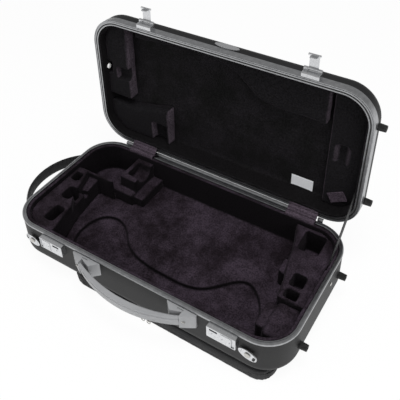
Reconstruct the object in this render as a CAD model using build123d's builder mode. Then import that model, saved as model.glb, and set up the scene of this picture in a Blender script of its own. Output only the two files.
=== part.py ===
"""Hard case for a bassoon, standing open on its music pocket.

Millimetres, +Z up, +X along the case, -Y towards the latches and the carrying handle.
The origin is on the ground, under the centre of the case outline. Every lid piece is drawn in
the closed position and then turned back about the hinge axis, so that lid and base share
one outline.
"""
from math import sqrt
import os

from build123d import *

os.makedirs("parts", exist_ok=True)

# Case outline, seen from above
LENGTH = 650.0
WIDTH = 320.0
CORNER_R = 68.0
# Heights: pocket under the base, base up to the parting plane, lid above it
POCKET_DEPTH = 28.0
BASE_DEPTH = 95.0
LID_DEPTH = 56.0
EDGE_R = 24.0
SHELL_T = 3.0
# Aluminium rims: side height, width of the mating face, how far they stand proud of the shell
RIM_PROUD = 0.8
BASE_RIM_SIDE = 5.0
BASE_RIM_WIDTH = 8.0
LID_RIM_SIDE = 17.0
LID_RIM_WIDTH = 11.0
RIM_FLANGE = 4.0
RIM_LEG_T = 2.4
RIM_LEG = 9.0
RIM_GAP = 0.6
RIM_FIT = 0.1
GROOVE_W = 1.4
GROOVE_D = 1.2
SEAL_W = 3.0
SEAL_D = 2.2
SEAL_SET = 0.3
# Middle of the latches, hasps, hinges, handle and badge along the case
MID_X = 5.0
# Hinges
OPEN_ANGLE = 91.0
HINGE_OUT = 6.0
HINGE_X = 206.0
HINGE_W = 60.0
LEAF_T = 1.6
LEAF_H = 24.0
KNUCKLE_R = 3.6
HINGE_PIN_R = 1.5
PIN_RUN = 0.05
KNUCKLE_GAP = 0.4
COVER_W = 70.0
COVER_T = 1.5
# Foam linings, covered with velvet
LINING_GAP = 3.2
LINING_WALL = 16.0
LINING_SET = 1.5
SOFT_GAP = 0.4
FLOOR_DEPTH = 74.0
PAN_STEP = 11.0
LID_FLOOR_DEPTH = 46.0
# Latches on the base, hasps on the lid
LATCH_X = 203.0
LATCH_W = 60.0
LATCH_H = 29.0
LATCH_D = 11.5
LATCH_TOP = 5.5
HASP_X = 188.0
HASP_W = 19.0
HASP_T = 1.6
HASP_REACH = 30.0
HASP_BASE_W = 36.0
HASP_BASE_H = 17.0
HASP_AXIS_OUT = 14.2
HASP_AXIS_UP = 14.5
HASP_PIN_R = 1.2
HASP_KNUCKLE_R = 2.8
HASP_OPEN = 90.0
LIP_W = 25.0
LIP_T = 3.0
TONGUE_W = 14.0
TONGUE_T = 2.0
TONGUE_L = 6.0
SLOT_CLEAR = 1.3
SLIDER_W = 21.0
SLIDER_H = 23.0
SLIDER_T = 1.8
SLIDER_TRAVEL = 6.0
SLIDER_CLEAR = 0.3
SLIDER_WALL = 2.4
DIMPLE_R = 1.3
DIMPLE_D = 0.7
DIMPLE_STEP = 17.5
# Carrying handle
GRIP_REACH = 47.0
GRIP_HALF = 145.0
GRIP_HEIGHT = 26.0
GRIP_T = 12.0
GRIP_END_T = 8.0
GRIP_SPAN = 119.0
GRIP_DROP = 8.0
GRIP_DEPTH = 25.0
GRIP_CLEAR = 3.4
GRIP_PIN_R = 2.0
GRIP_PIN_L = 22.0
SEAM_DOWN = 6.0
SEAM_W = 0.8
SEAM_D = 0.7
BRACKET_IN = 81.0
BRACKET_OUT = 147.0
BRACKET_H = 34.0
# Swivelling strap anchors
ANCHOR_X = 259.0
ANCHOR_DEPTH = 38.0
ANCHOR_R = 9.0
ANCHOR_HALF_W = 19.0
ANCHOR_HALF_H = 11.5
ANCHOR_EYE_W = 5.5
ANCHOR_EYE_H = 12.0
ANCHOR_EYE_AT = 13.2
ANCHOR_HOLE_R = 0.8
ANCHOR_HOLE_Y = 2.6
ANCHOR_TILT = 18.0
ANCHOR_T = 2.0
# Side handle of webbing, at the left end
SIDE_DEPTH = 46.0
SIDE_FRONT = -98.0
SIDE_BACK = 109.0
SIDE_REACH = 68.0
SIDE_H = 28.0
SIDE_T = 6.0
SIDE_END_W = 20.0
SIDE_END_OUT = 13.0
# Rubber feet at the right end
FOOT_R = 7.5
FOOT_H = 15.0
FOOT_PLACES = (-87.0, 97.0)
FOOT_DEPTH = 56.0
FOOT_UP = 27.0
FOOT_SCREW_R = 3.2
# Strap that stops the lid
STRAP_W = 20.0
STRAP_T = 1.4
STRAP_BASE_Y = 64.0
STRAP_BASE_DEPTH = 38.0
STRAP_LID_Y = 72.0
STRAP_LID_UP = 22.0
CHANNEL_T = 2.2
CHANNEL_ROOM = 14.0
BASE_RIVET_Y = 48.0
BASE_RIVET_DEPTH = 31.0
RIVET_R = 4.0
# Music pocket
POCKET_LEFT = -174.0
POCKET_RIGHT = 298.0
POCKET_FRONT = 156.0
POCKET_BACK = 142.0
POCKET_R = 34.0
POCKET_EDGE_R = 6.0
POCKET_RISE = 7.0
ZIP_Z = 12.0
ZIP_H = 6.0
ZIP_T = 1.2
ZIP_PULLS = (21.0, 35.0)
ZIP_SLIDER_W = 7.0
ZIP_SLIDER_H = 9.0
ZIP_RING_R = 4.4
ZIP_WIRE = 1.0
ZIP_SLIDER_T = 2.0
BAIL_W = 1.6
BAIL_ROOM = 2.3
BAIL_T = 0.8
# Badge on the lid front, label in the lid and small rivets, all bare
BADGE_W = 56.0
BADGE_H = 16.0
BADGE_T = 3.6
BADGE_UP = 26.0
LABEL_W = 50.0
LABEL_H = 30.0
LABEL_T = 0.5
LABEL_IN = 125.0
LABEL_BACK = 16.0
TAB_W = 38.0
TAB_H = 24.0
TAB_T = 2.0
TAB_IN = 40.0
TAB_BACK = 30.0
TAB_TURN = -30.0
LID_RIVET_Y = -25.0
LID_RIVET_UP = 22.0

PART_Z = POCKET_DEPTH + BASE_DEPTH
BACK_Y = WIDTH / 2
FRONT_Y = -WIDTH / 2
END_X = LENGTH / 2
HINGE_Y = BACK_Y + HINGE_OUT
HINGE_AXIS = Axis((0, HINGE_Y, PART_Z), (1, 0, 0))
ROOM_X = END_X - LINING_WALL
ROOM_Y = BACK_Y - LINING_WALL
FLOOR_Z = PART_Z - FLOOR_DEPTH


def at(side, x):
    """x of the left (side -1) or right (side 1) one of a pair of fittings."""
    return MID_X + side * x


def left(distance):
    """x at a distance from the left wall of the room."""
    return distance - ROOM_X


def right(distance):
    """x at a distance from the right wall of the room."""
    return ROOM_X - distance


def front(distance):
    """y at a distance from the front wall of the room."""
    return distance - ROOM_Y


def back(distance):
    """y at a distance from the back wall of the room."""
    return ROOM_Y - distance


def outline(inset, mode=Mode.ADD):
    """The case outline, moved inwards by inset."""
    RectangleRounded(LENGTH - 2 * inset, WIDTH - 2 * inset, CORNER_R - inset, mode=mode)


def ring(low, high, outer, inner, mode=Mode.ADD):
    """A frame between two insets of the case outline, from height low to high."""
    with BuildSketch(Plane.XY.offset(low)) as plan:
        outline(outer)
        outline(inner, mode=Mode.SUBTRACT)
    extrude(plan.sketch, amount=high - low, mode=mode)


def tray(low, high, inset, mode=Mode.ADD):
    """The whole case outline, moved inwards, from height low to high."""
    with BuildSketch(Plane.XY.offset(low)) as plan:
        outline(inset)
    extrude(plan.sketch, amount=high - low, mode=mode)


def save(piece, name):
    """Label a finished piece and write it."""
    piece.part.label = name
    export_step(piece.part, f"parts/{name}.step")


def save_lid(piece, name):
    """Turn a piece of the closed lid to the open lid, label it and write it."""
    turned = piece.part.rotate(HINGE_AXIS, -OPEN_ANGLE)
    turned.label = name
    export_step(turned, f"parts/{name}.step")


# Base shell, with its rounded bottom edge
with BuildPart() as base_shell:
    tray(POCKET_DEPTH, PART_Z - BASE_RIM_SIDE, 0)
    fillet(base_shell.faces().sort_by(Axis.Z)[0].edges(), EDGE_R)
    offset(amount=-SHELL_T, openings=base_shell.faces().sort_by(Axis.Z)[-1])
save(base_shell, "base_shell")

# Base rim: a rolled cap over the edge of the shell, with a leg inside it and one groove
with BuildPart() as base_rim:
    ring(PART_Z - BASE_RIM_SIDE, PART_Z, -RIM_PROUD, BASE_RIM_WIDTH)
    top = base_rim.faces().sort_by(Axis.Z)[-1]
    fillet(top.outer_wire().edges(), BASE_RIM_SIDE / 2)
    top = base_rim.faces().sort_by(Axis.Z)[-1]
    fillet(top.inner_wires()[0].edges(), BASE_RIM_SIDE / 4)
    leg_out = SHELL_T + RIM_FIT
    ring(PART_Z - BASE_RIM_SIDE - RIM_LEG, PART_Z - BASE_RIM_SIDE, leg_out, leg_out + RIM_LEG_T)
    groove_at = BASE_RIM_WIDTH / 2
    ring(PART_Z - GROOVE_D, PART_Z, groove_at, groove_at + GROOVE_W, mode=Mode.SUBTRACT)
save(base_rim, "base_rim")

# Lid shell, closed position
with BuildPart() as lid_shell:
    tray(PART_Z + RIM_GAP + LID_RIM_SIDE, PART_Z + LID_DEPTH, 0)
    fillet(lid_shell.faces().sort_by(Axis.Z)[-1].edges(), EDGE_R)
    offset(amount=-SHELL_T, openings=lid_shell.faces().sort_by(Axis.Z)[0])
save_lid(lid_shell, "lid_shell")

# Lid rim: a wide outer band, a grooved mating flange and a leg inside the shell
with BuildPart() as lid_rim:
    low = PART_Z + RIM_GAP
    ring(low, low + LID_RIM_SIDE, -RIM_PROUD, SHELL_T)
    ring(low, low + RIM_FLANGE, 0, LID_RIM_WIDTH)
    ring(low + RIM_FLANGE, low + LID_RIM_SIDE + RIM_LEG, leg_out, leg_out + RIM_LEG_T)
    fillet(lid_rim.faces().sort_by(Axis.Z)[0].outer_wire().edges(), BASE_RIM_SIDE / 4)
    seal_at = LID_RIM_WIDTH / 2
    ring(low, low + SEAL_D, seal_at, seal_at + SEAL_W, mode=Mode.SUBTRACT)
    ring(low, low + GROOVE_D, GROOVE_W, 2 * GROOVE_W, mode=Mode.SUBTRACT)
save_lid(lid_rim, "lid_rim")

# Rubber seal, seated in the groove of the lid rim
with BuildPart() as lid_seal:
    ring(low + SEAL_SET, low + SEAL_D, seal_at, seal_at + SEAL_W)
save_lid(lid_seal, "lid_seal")


def strap_channel(low, high, strap_y):
    """A channel in the right wall of a lining, for the strap that stops the lid."""
    with BuildSketch(Plane.XY.offset(low - CHANNEL_ROOM)) as plan:
        with Locations((ROOM_X + CHANNEL_T / 2, (strap_y - CHANNEL_ROOM + ROOM_Y) / 2)):
            Rectangle(CHANNEL_T, ROOM_Y - strap_y + CHANNEL_ROOM)
    extrude(plan.sketch, amount=high - low + 2 * CHANNEL_ROOM, mode=Mode.SUBTRACT)


# Base lining: a foam tray with a wavy lower pan along its front
WAVE = [(left(100), front(45)), (left(90), front(84)), (left(118), front(144)), (left(159), front(144)),
        (left(209), front(101)), (20, front(72)), (right(204), front(89)), (right(137), front(144)),
        (right(97), front(116)), (right(87), front(45))]
SCOOPS = [(left(112), front(118)), (-15, front(100)), (right(133), front(126))]
SCOOP_RX = 13.0
SCOOP_RY = 7.0
SCOOP_D = 3.0
foam_out = SHELL_T + LINING_GAP
foam_low = POCKET_DEPTH + SHELL_T
with BuildPart() as base_lining:
    tray(foam_low, PART_Z - BASE_RIM_SIDE - SOFT_GAP, foam_out)
    fillet(base_lining.faces().sort_by(Axis.Z)[0].edges(), EDGE_R - SHELL_T)
    tray(PART_Z - BASE_RIM_SIDE - SOFT_GAP, PART_Z - LINING_SET, BASE_RIM_WIDTH + SOFT_GAP)
    tray(FLOOR_Z, PART_Z, LINING_WALL, mode=Mode.SUBTRACT)
    with BuildSketch(Plane.XY.offset(FLOOR_Z)) as pan:
        with BuildLine():
            Spline(*WAVE)
            Polyline(WAVE[-1], (WAVE[-1][0], front(0)), (WAVE[0][0], front(0)), WAVE[0])
        make_face()
    extrude(amount=-PAN_STEP, mode=Mode.SUBTRACT)
    with BuildSketch(Plane.XY.offset(FLOOR_Z - PAN_STEP)):
        with Locations(*SCOOPS):
            Ellipse(SCOOP_RX, SCOOP_RY)
    extrude(amount=-SCOOP_D, mode=Mode.SUBTRACT)
    strap_channel(PART_Z - STRAP_BASE_DEPTH, PART_Z, STRAP_BASE_Y)
save(base_lining, "base_lining")


def block(low, high, points, mode=Mode.ADD, corner=0.0):
    """A foam block with a straight-sided plan, kept inside the room of the tray."""
    with BuildSketch(Plane.XY.offset(low)) as plan:
        with BuildLine():
            Polyline(*points, close=True)
        make_face()
        if corner:
            fillet(plan.vertices(), corner)
        outline(LINING_WALL, mode=Mode.INTERSECT)
    extrude(plan.sketch, amount=high - low, mode=mode)


def box_plan(x0, x1, y0, y1):
    """Corners of a rectangle given by its sides."""
    return [(x0, y0), (x1, y0), (x1, y1), (x0, y1)]


# Left foam block: a high shelf along the end, three pockets, two low saddles and a thin ridge
LEFT_TOP = PART_Z - 10.0
SHELF_TOP = PART_Z - 30.0
RIDGE_TOP = PART_Z - 16.0
RIDGE_Y = back(98)
RIDGE_T = 6.0
LEFT_POCKETS = [(left(18), 17, 22, 28), (left(40), -33, 24, 36), (left(57), front(44), 26, 44)]
POCKET_FLOOR = FLOOR_Z + 18.0
DIP_TOP = SHELF_TOP - 14.0
with BuildPart() as base_left_block:
    block(FLOOR_Z, SHELF_TOP, [(left(0), RIDGE_Y), (left(52), RIDGE_Y), (left(62), front(106)),
                               (left(77), front(53)), (left(90), front(0)), (left(0), front(0))])
    block(SHELF_TOP, LEFT_TOP, [(left(0), RIDGE_Y), (left(28), RIDGE_Y), (left(52), front(110)),
                                (left(72), front(80)), (left(77), front(53)), (left(88), front(0)),
                                (left(0), front(0))])
    block(DIP_TOP, SHELF_TOP, box_plan(left(45), left(62), -8, 4), mode=Mode.SUBTRACT)
    block(FLOOR_Z, RIDGE_TOP, box_plan(left(0), left(98), RIDGE_Y, RIDGE_Y + RIDGE_T))
    with BuildSketch(Plane.XY.offset(LEFT_TOP)):
        for x, y, w, h in LEFT_POCKETS:
            with Locations((x, y)):
                RectangleRounded(w, h, w / 4)
    extrude(amount=POCKET_FLOOR - LEFT_TOP, mode=Mode.SUBTRACT)
save(base_left_block, "base_left_block")

# Saddle block at the back left: a platform, a lower step and a cradle with a round trough
SADDLE_TOP = PART_Z - 42.0
STEP_TOP = PART_Z - 50.0
CRADLE_TOP = PART_Z - 12.0
CRADLE_R = 24.0
CRADLE_WALL = 12.0
SADDLE_FRONT = RIDGE_Y + RIDGE_T
with BuildPart() as base_saddle_block:
    block(FLOOR_Z, SADDLE_TOP, box_plan(left(77), left(146), SADDLE_FRONT, back(0)))
    block(FLOOR_Z, STEP_TOP, box_plan(left(146), left(171), back(84), back(0)))
    block(SADDLE_TOP, CRADLE_TOP, box_plan(left(100), left(146), back(74), back(0)))
    with BuildSketch(Plane.YZ.offset(left(100) + CRADLE_WALL)) as trough:
        with Locations((back(36), CRADLE_TOP)):
            Circle(CRADLE_R)
    extrude(trough.sketch, amount=left(146) - left(100), mode=Mode.SUBTRACT)
save(base_saddle_block, "base_saddle_block")

# Right foam block with its square pocket, a low step at its left and two small pockets
RIGHT_TOP = PART_Z - 10.0
RIGHT_STEP_TOP = PART_Z - 30.0
RIGHT_POCKETS = [(right(50), back(37), 46, 54, FLOOR_Z + 8), (right(34), 6, 28, 32, FLOOR_Z + 22),
                 (right(32), -30, 28, 22, FLOOR_Z + 26)]
with BuildPart() as base_right_block:
    block(FLOOR_Z, RIGHT_TOP, [(right(100), back(0)), (right(78), back(70)), (right(75), back(96)),
                               (right(62), 0), (right(54), -46), (right(0), -46), (right(0), back(0))])
    block(FLOOR_Z, RIGHT_STEP_TOP, box_plan(right(87), right(66), back(118), back(84)))
    for x, y, w, h, floor in RIGHT_POCKETS:
        with BuildSketch(Plane.XY.offset(RIGHT_TOP)):
            with Locations((x, y)):
                RectangleRounded(w, h, 4)
        extrude(amount=floor - RIGHT_TOP, mode=Mode.SUBTRACT)
save(base_right_block, "base_right_block")

# Rounded cushion in the front right corner, with a finger beside it and a mound at the front
CUSHION_TOP = PART_Z - 14.0
FINGER_TOP = PART_Z - 20.0
MOUND_TOP = PART_Z - 24.0
with BuildPart() as base_cushion:
    block(FLOOR_Z, CUSHION_TOP, box_plan(right(47), right(0), front(18), -48), corner=9)
    fillet(base_cushion.faces().sort_by(Axis.Z)[-1].edges(), 8)
    block(FLOOR_Z, FINGER_TOP, box_plan(right(66), right(49), front(30), -54), corner=8)
save(base_cushion, "base_cushion")

with BuildPart() as base_mound:
    block(FLOOR_Z, MOUND_TOP, box_plan(right(95), right(53), front(0), front(16)), corner=6)
    block(FLOOR_Z - PAN_STEP, FLOOR_Z, box_plan(right(93), WAVE[-1][0] - SOFT_GAP, front(0), front(14)))
save(base_mound, "base_mound")

# Lid lining, closed position: a foam tray with a flat floor
lid_low = PART_Z + RIM_GAP
with BuildPart() as lid_lining:
    tray(lid_low + RIM_FLANGE + SOFT_GAP, PART_Z + LID_DEPTH - SHELL_T, foam_out)
    fillet(lid_lining.faces().sort_by(Axis.Z)[-1].edges(), EDGE_R - SHELL_T)
    tray(lid_low + LINING_SET, lid_low + RIM_FLANGE + SOFT_GAP, LID_RIM_WIDTH + SOFT_GAP)
    tray(PART_Z, PART_Z + LID_FLOOR_DEPTH, LINING_WALL, mode=Mode.SUBTRACT)
    strap_channel(PART_Z, PART_Z + STRAP_LID_UP, STRAP_LID_Y)
save_lid(lid_lining, "lid_lining")

LID_FLOOR_Z = PART_Z + LID_FLOOR_DEPTH
# Pad along the front of the lid, which widens to the right in an S
PAD_LOW = PART_Z + 24.0
with BuildPart() as lid_front_pad:
    with BuildSketch(Plane.XY.offset(PAD_LOW)):
        with BuildLine():
            s_curve = Spline((left(83), front(24)), (-5, front(22)), (34, front(40)), (84, front(80)),
                             (128, front(88)), (right(81), front(89)), tangents=((1, 0), (1, 0)))
            Polyline(s_curve @ 1, (right(81), front(0)), (left(83), front(0)), s_curve @ 0)
        make_face()
        outline(LINING_WALL, mode=Mode.INTERSECT)
    extrude(amount=LID_FLOOR_Z - PAD_LOW)
save_lid(lid_front_pad, "lid_front_pad")

LEFT_PAD_LOW = PART_Z + 18.0
LEFT_DIP_TOP = LEFT_PAD_LOW + 14.0
with BuildPart() as lid_left_pad:
    block(LEFT_PAD_LOW, LID_FLOOR_Z, box_plan(left(0), left(62), front(0), back(98)))
    block(LEFT_PAD_LOW, LEFT_DIP_TOP, box_plan(left(27), left(62), -33, -3), mode=Mode.SUBTRACT)
    block(LEFT_PAD_LOW, LEFT_DIP_TOP, box_plan(left(0), left(14), -40, -10), mode=Mode.SUBTRACT)
save_lid(lid_left_pad, "lid_left_pad")

SADDLE_PAD_LOW = PART_Z + 20.0
SADDLE_DIP_TOP = SADDLE_PAD_LOW + 16.0
with BuildPart() as lid_saddle_pad:
    block(SADDLE_PAD_LOW, LID_FLOOR_Z, [(left(0), back(78)), (left(60), back(74)), (left(134), back(92)),
                                        (left(164), back(98)), (left(164), back(0)), (left(0), back(0))])
    block(SADDLE_PAD_LOW, SADDLE_DIP_TOP, box_plan(left(117), left(158), back(54), back(0)),
          mode=Mode.SUBTRACT)
save_lid(lid_saddle_pad, "lid_saddle_pad")

# Pad along the right end of the lid, with a round trough for the end of a joint
RIGHT_PAD_LOW = PART_Z + 30.0
TROUGH_R = 16.0
TROUGH_FRONT = -14.0
TROUGH_L = 46.0
with BuildPart() as lid_right_pad:
    block(RIGHT_PAD_LOW, LID_FLOOR_Z, box_plan(right(73), right(0), front(0), back(0)))
    with BuildSketch(Plane.XZ.offset(-TROUGH_FRONT)) as trough:
        with Locations((right(45), RIGHT_PAD_LOW - TROUGH_R / 4)):
            Circle(TROUGH_R)
    extrude(trough.sketch, amount=-TROUGH_L, mode=Mode.SUBTRACT)
save_lid(lid_right_pad, "lid_right_pad")

# Velvet pull tab, sewn on the right pad of the lid
with BuildPart() as lid_tab:
    with BuildSketch(Plane.XY.offset(RIGHT_PAD_LOW)):
        with Locations(Location((right(TAB_IN), back(TAB_BACK)), TAB_TURN)):
            RectangleRounded(TAB_W, TAB_H, 2)
    extrude(amount=-TAB_T)
save_lid(lid_tab, "lid_tab")

# Latch body, left and right: a box with rounded front edges, a tongue slot near its inner end
# and a shallow window with a stem slot for the slider near its outer end
latch_mid_z = PART_Z - LATCH_TOP - LATCH_H / 2
latch_face_y = FRONT_Y - LATCH_D
hasp_axis_y = FRONT_Y - HASP_AXIS_OUT
hasp_axis_z = PART_Z + HASP_AXIS_UP
slot_z = hasp_axis_z - HASP_REACH + LIP_T + TONGUE_T / 2
slider_x = LATCH_X + LATCH_W / 2 - SLIDER_WALL - SLIDER_W / 2 - SLIDER_TRAVEL
WINDOW_D = 1.6
STEM_W = 5.0
STEM_H = 8.0
STEM_L = 4.0
LATCH_EDGE = 2.0


def latch_body(side):
    """One latch body on the front wall."""
    with BuildPart() as body:
        with BuildSketch(Plane.XZ.offset(-FRONT_Y)):
            with Locations((at(side, LATCH_X), latch_mid_z)):
                RectangleRounded(LATCH_W, LATCH_H, LATCH_EDGE)
        extrude(amount=LATCH_D)
        fillet(body.faces().sort_by(Axis.Y)[0].edges(), LATCH_EDGE * 0.7)
        with BuildSketch(Plane.XZ.offset(-latch_face_y)):
            with Locations((at(side, HASP_X), slot_z)):
                Rectangle(TONGUE_W + 2 * SLOT_CLEAR, TONGUE_T + 2 * SLOT_CLEAR)
        extrude(amount=-TONGUE_L - SLOT_CLEAR, mode=Mode.SUBTRACT)
        window_w = SLIDER_W + SLIDER_TRAVEL + 2 * SLIDER_CLEAR
        window_x = slider_x + SLIDER_TRAVEL / 2
        with BuildSketch(Plane.XZ.offset(-latch_face_y)):
            with Locations((at(side, window_x), latch_mid_z)):
                Rectangle(window_w, SLIDER_H + 2 * SLIDER_CLEAR)
        extrude(amount=-WINDOW_D, mode=Mode.SUBTRACT)
        with BuildSketch(Plane.XZ.offset(-latch_face_y)):
            with Locations((at(side, window_x), latch_mid_z)):
                Rectangle(STEM_W + SLIDER_TRAVEL + 2 * SLIDER_CLEAR, STEM_H + 2 * SLIDER_CLEAR)
        extrude(amount=-WINDOW_D - STEM_L - SLIDER_CLEAR, mode=Mode.SUBTRACT)
        with BuildSketch(Plane.XZ.offset(-latch_face_y)):
            with Locations((at(side, LATCH_X - DIMPLE_STEP), latch_mid_z)):
                Circle(DIMPLE_R)
        extrude(amount=-DIMPLE_D, mode=Mode.SUBTRACT)
    return body


def latch_slider(side):
    """The plate that slides outwards to let the hasp go, with two dimples and a stem."""
    plate_y = latch_face_y + WINDOW_D - SLIDER_CLEAR
    with BuildPart() as slider:
        with BuildSketch(Plane.XZ.offset(-plate_y)):
            with Locations((at(side, slider_x), latch_mid_z)):
                RectangleRounded(SLIDER_W, SLIDER_H, 1)
        extrude(amount=SLIDER_T)
        with BuildSketch(Plane.XZ.offset(-plate_y)):
            with Locations((at(side, slider_x), latch_mid_z)):
                Rectangle(STEM_W, STEM_H)
        extrude(amount=-STEM_L)
        with BuildSketch(Plane.XZ.offset(-plate_y + SLIDER_T)):
            with Locations((at(side, slider_x), latch_mid_z)):
                with GridLocations(SLIDER_W * 0.7, 1, 2, 1):
                    Circle(DIMPLE_R)
        extrude(amount=-DIMPLE_D, mode=Mode.SUBTRACT)
    return slider


for side, word in ((-1, "left"), (1, "right")):
    save(latch_body(side), f"latch_body_{word}")
    save(latch_slider(side), f"latch_slider_{word}")

# Rivets that hold the latch bodies, from inside the shell wall
RIVET_HEAD_T = 1.6
with BuildPart() as latch_rivets:
    with BuildSketch(Plane.XZ.offset(-FRONT_Y - SHELL_T)):
        for side in (-1, 1):
            with Locations((at(side, LATCH_X), latch_mid_z)):
                with GridLocations(LATCH_W * 0.7, 1, 2, 1):
                    Circle(RIVET_R)
    extrude(amount=-RIVET_HEAD_T)
save(latch_rivets, "latch_rivets")


def hasp_bracket(side):
    """Bracket on the lid rim with two ears that carry the hasp pin. Closed position."""
    wall_y = FRONT_Y - RIM_PROUD
    ear_w = (HASP_BASE_W - HASP_W) / 2 - KNUCKLE_GAP
    with BuildPart() as bracket:
        with BuildSketch(Plane.YZ.offset(at(side, HASP_X) - HASP_BASE_W / 2)):
            with BuildLine():
                Polyline((wall_y, lid_low + 1), (wall_y - 7, lid_low + 1), (wall_y - 9, lid_low + 4),
                         (wall_y - 9, lid_low + HASP_BASE_H), (wall_y, lid_low + HASP_BASE_H), close=True)
            make_face()
        extrude(amount=HASP_BASE_W)
        ear_x = HASP_W / 2 + KNUCKLE_GAP + ear_w / 2
        for place in (-ear_x, ear_x):
            with BuildSketch(Plane.YZ.offset(at(side, HASP_X) + place - ear_w / 2)):
                with Locations((hasp_axis_y, hasp_axis_z)):
                    Circle(HASP_KNUCKLE_R)
                with BuildLine():
                    Polyline((wall_y - 8, hasp_axis_z - HASP_KNUCKLE_R),
                             (hasp_axis_y, hasp_axis_z - HASP_KNUCKLE_R),
                             (hasp_axis_y, hasp_axis_z + HASP_KNUCKLE_R),
                             (wall_y - 8, hasp_axis_z + HASP_KNUCKLE_R), close=True)
                make_face()
                with Locations((hasp_axis_y, hasp_axis_z)):
                    Circle(HASP_PIN_R + PIN_RUN, mode=Mode.SUBTRACT)
            extrude(amount=ear_w)
        knuckle_room = HASP_KNUCKLE_R + 2 * KNUCKLE_GAP
        with BuildSketch(Plane.YZ.offset(at(side, HASP_X) - HASP_W / 2 - KNUCKLE_GAP)):
            with Locations((hasp_axis_y, hasp_axis_z)):
                Circle(knuckle_room)
        extrude(amount=HASP_W + 2 * KNUCKLE_GAP, mode=Mode.SUBTRACT)
    return bracket


def hasp_plate(side):
    """Hasp plate with its knuckle, finger lip and tongue, drawn latched over the closed lid."""
    with BuildPart() as plate:
        with BuildSketch(Plane.YZ.offset(at(side, HASP_X) - HASP_W / 2)):
            with Locations((hasp_axis_y, hasp_axis_z)):
                Circle(HASP_KNUCKLE_R)
            with Locations((hasp_axis_y - HASP_KNUCKLE_R + HASP_T / 2, hasp_axis_z - HASP_REACH / 2)):
                Rectangle(HASP_T, HASP_REACH)
            with Locations((hasp_axis_y, hasp_axis_z)):
                Circle(HASP_PIN_R + PIN_RUN, mode=Mode.SUBTRACT)
        extrude(amount=HASP_W)
        lip_y = hasp_axis_y - HASP_KNUCKLE_R
        with BuildSketch(Plane.XY.offset(hasp_axis_z - HASP_REACH)):
            with Locations((at(side, HASP_X), lip_y + 2)):
                RectangleRounded(LIP_W, 4, 1)
        extrude(amount=LIP_T)
        tongue_low = slot_z - TONGUE_T / 2
        with BuildSketch(Plane.XY.offset(tongue_low)):
            with BuildLine():
                Polyline((at(side, HASP_X) - TONGUE_W / 2, lip_y + HASP_T / 2),
                         (at(side, HASP_X) - TONGUE_W / 2, latch_face_y + TONGUE_L - 2),
                         (at(side, HASP_X) - TONGUE_W / 2 + 2, latch_face_y + TONGUE_L),
                         (at(side, HASP_X) + TONGUE_W / 2 - 2, latch_face_y + TONGUE_L),
                         (at(side, HASP_X) + TONGUE_W / 2, latch_face_y + TONGUE_L - 2),
                         (at(side, HASP_X) + TONGUE_W / 2, lip_y + HASP_T / 2), close=True)
            make_face()
        extrude(amount=TONGUE_T)
    return plate


def hasp_pin(side):
    """The pin of one hasp."""
    with BuildPart() as pin:
        with BuildSketch(Plane.YZ.offset(at(side, HASP_X) - HASP_BASE_W / 2)):
            with Locations((hasp_axis_y, hasp_axis_z)):
                Circle(HASP_PIN_R)
        extrude(amount=HASP_BASE_W)
    return pin


hasp_axis = Axis((0, hasp_axis_y, hasp_axis_z), (1, 0, 0))
for side, word in ((-1, "left"), (1, "right")):
    save_lid(hasp_bracket(side), f"hasp_bracket_{word}")
    save_lid(hasp_pin(side), f"hasp_pin_{word}")
    flipped = hasp_plate(side)
    flipped.part = flipped.part.rotate(hasp_axis, -HASP_OPEN)
    save_lid(flipped, f"hasp_plate_{word}")


# Hinge leaves: five knuckles, three on the base and two on the lid
knuckle_pitch = HINGE_W / 5
leaf_y = BACK_Y + RIM_PROUD + 0.1
LEAF_FROM = 1.5


def hinge_leaves(steps, other_steps, up):
    """Both leaves of one kind, flats on the back wall, knuckles on the hinge axis; up is 1 on the lid."""
    flat_mid = PART_Z + up * (LEAF_FROM + LEAF_H) / 2
    with BuildPart() as leaves:
        for side in (-1, 1):
            with BuildSketch(Plane.XZ.offset(-leaf_y)) as flat_plan:
                with Locations((at(side, HINGE_X), flat_mid)):
                    Rectangle(HINGE_W, LEAF_H - LEAF_FROM)
            extrude(flat_plan.sketch, amount=-LEAF_T)
            for step in steps:
                low_x = at(side, HINGE_X) + step * knuckle_pitch - (knuckle_pitch - KNUCKLE_GAP) / 2
                with BuildSketch(Plane.YZ.offset(low_x)) as knuckle_plan:
                    with Locations(((leaf_y + HINGE_Y) / 2, PART_Z + up * KNUCKLE_R / 2)):
                        Rectangle(HINGE_Y - leaf_y, KNUCKLE_R)
                    with Locations((HINGE_Y, PART_Z)):
                        Circle(KNUCKLE_R)
                        Circle(HINGE_PIN_R + PIN_RUN, mode=Mode.SUBTRACT)
                extrude(knuckle_plan.sketch, amount=knuckle_pitch - KNUCKLE_GAP)
            for step in other_steps:
                low_x = at(side, HINGE_X) + (step - 0.5) * knuckle_pitch
                with BuildSketch(Plane.YZ.offset(low_x)) as room_plan:
                    with Locations((HINGE_Y, PART_Z)):
                        Circle(KNUCKLE_R + KNUCKLE_GAP)
                extrude(room_plan.sketch, amount=knuckle_pitch, mode=Mode.SUBTRACT)
    return leaves


save(hinge_leaves((-2, 0, 2), (-1, 1), -1), "base_hinge_leaves")
save_lid(hinge_leaves((-1, 1), (-2, 0, 2), 1), "lid_hinge_leaves")

with BuildPart() as hinge_pins:
    for side in (-1, 1):
        with BuildSketch(Plane.YZ.offset(at(side, HINGE_X) - HINGE_W / 2)):
            with Locations((HINGE_Y, PART_Z)):
                Circle(HINGE_PIN_R)
        extrude(amount=HINGE_W)
save(hinge_pins, "hinge_pins")

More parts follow.
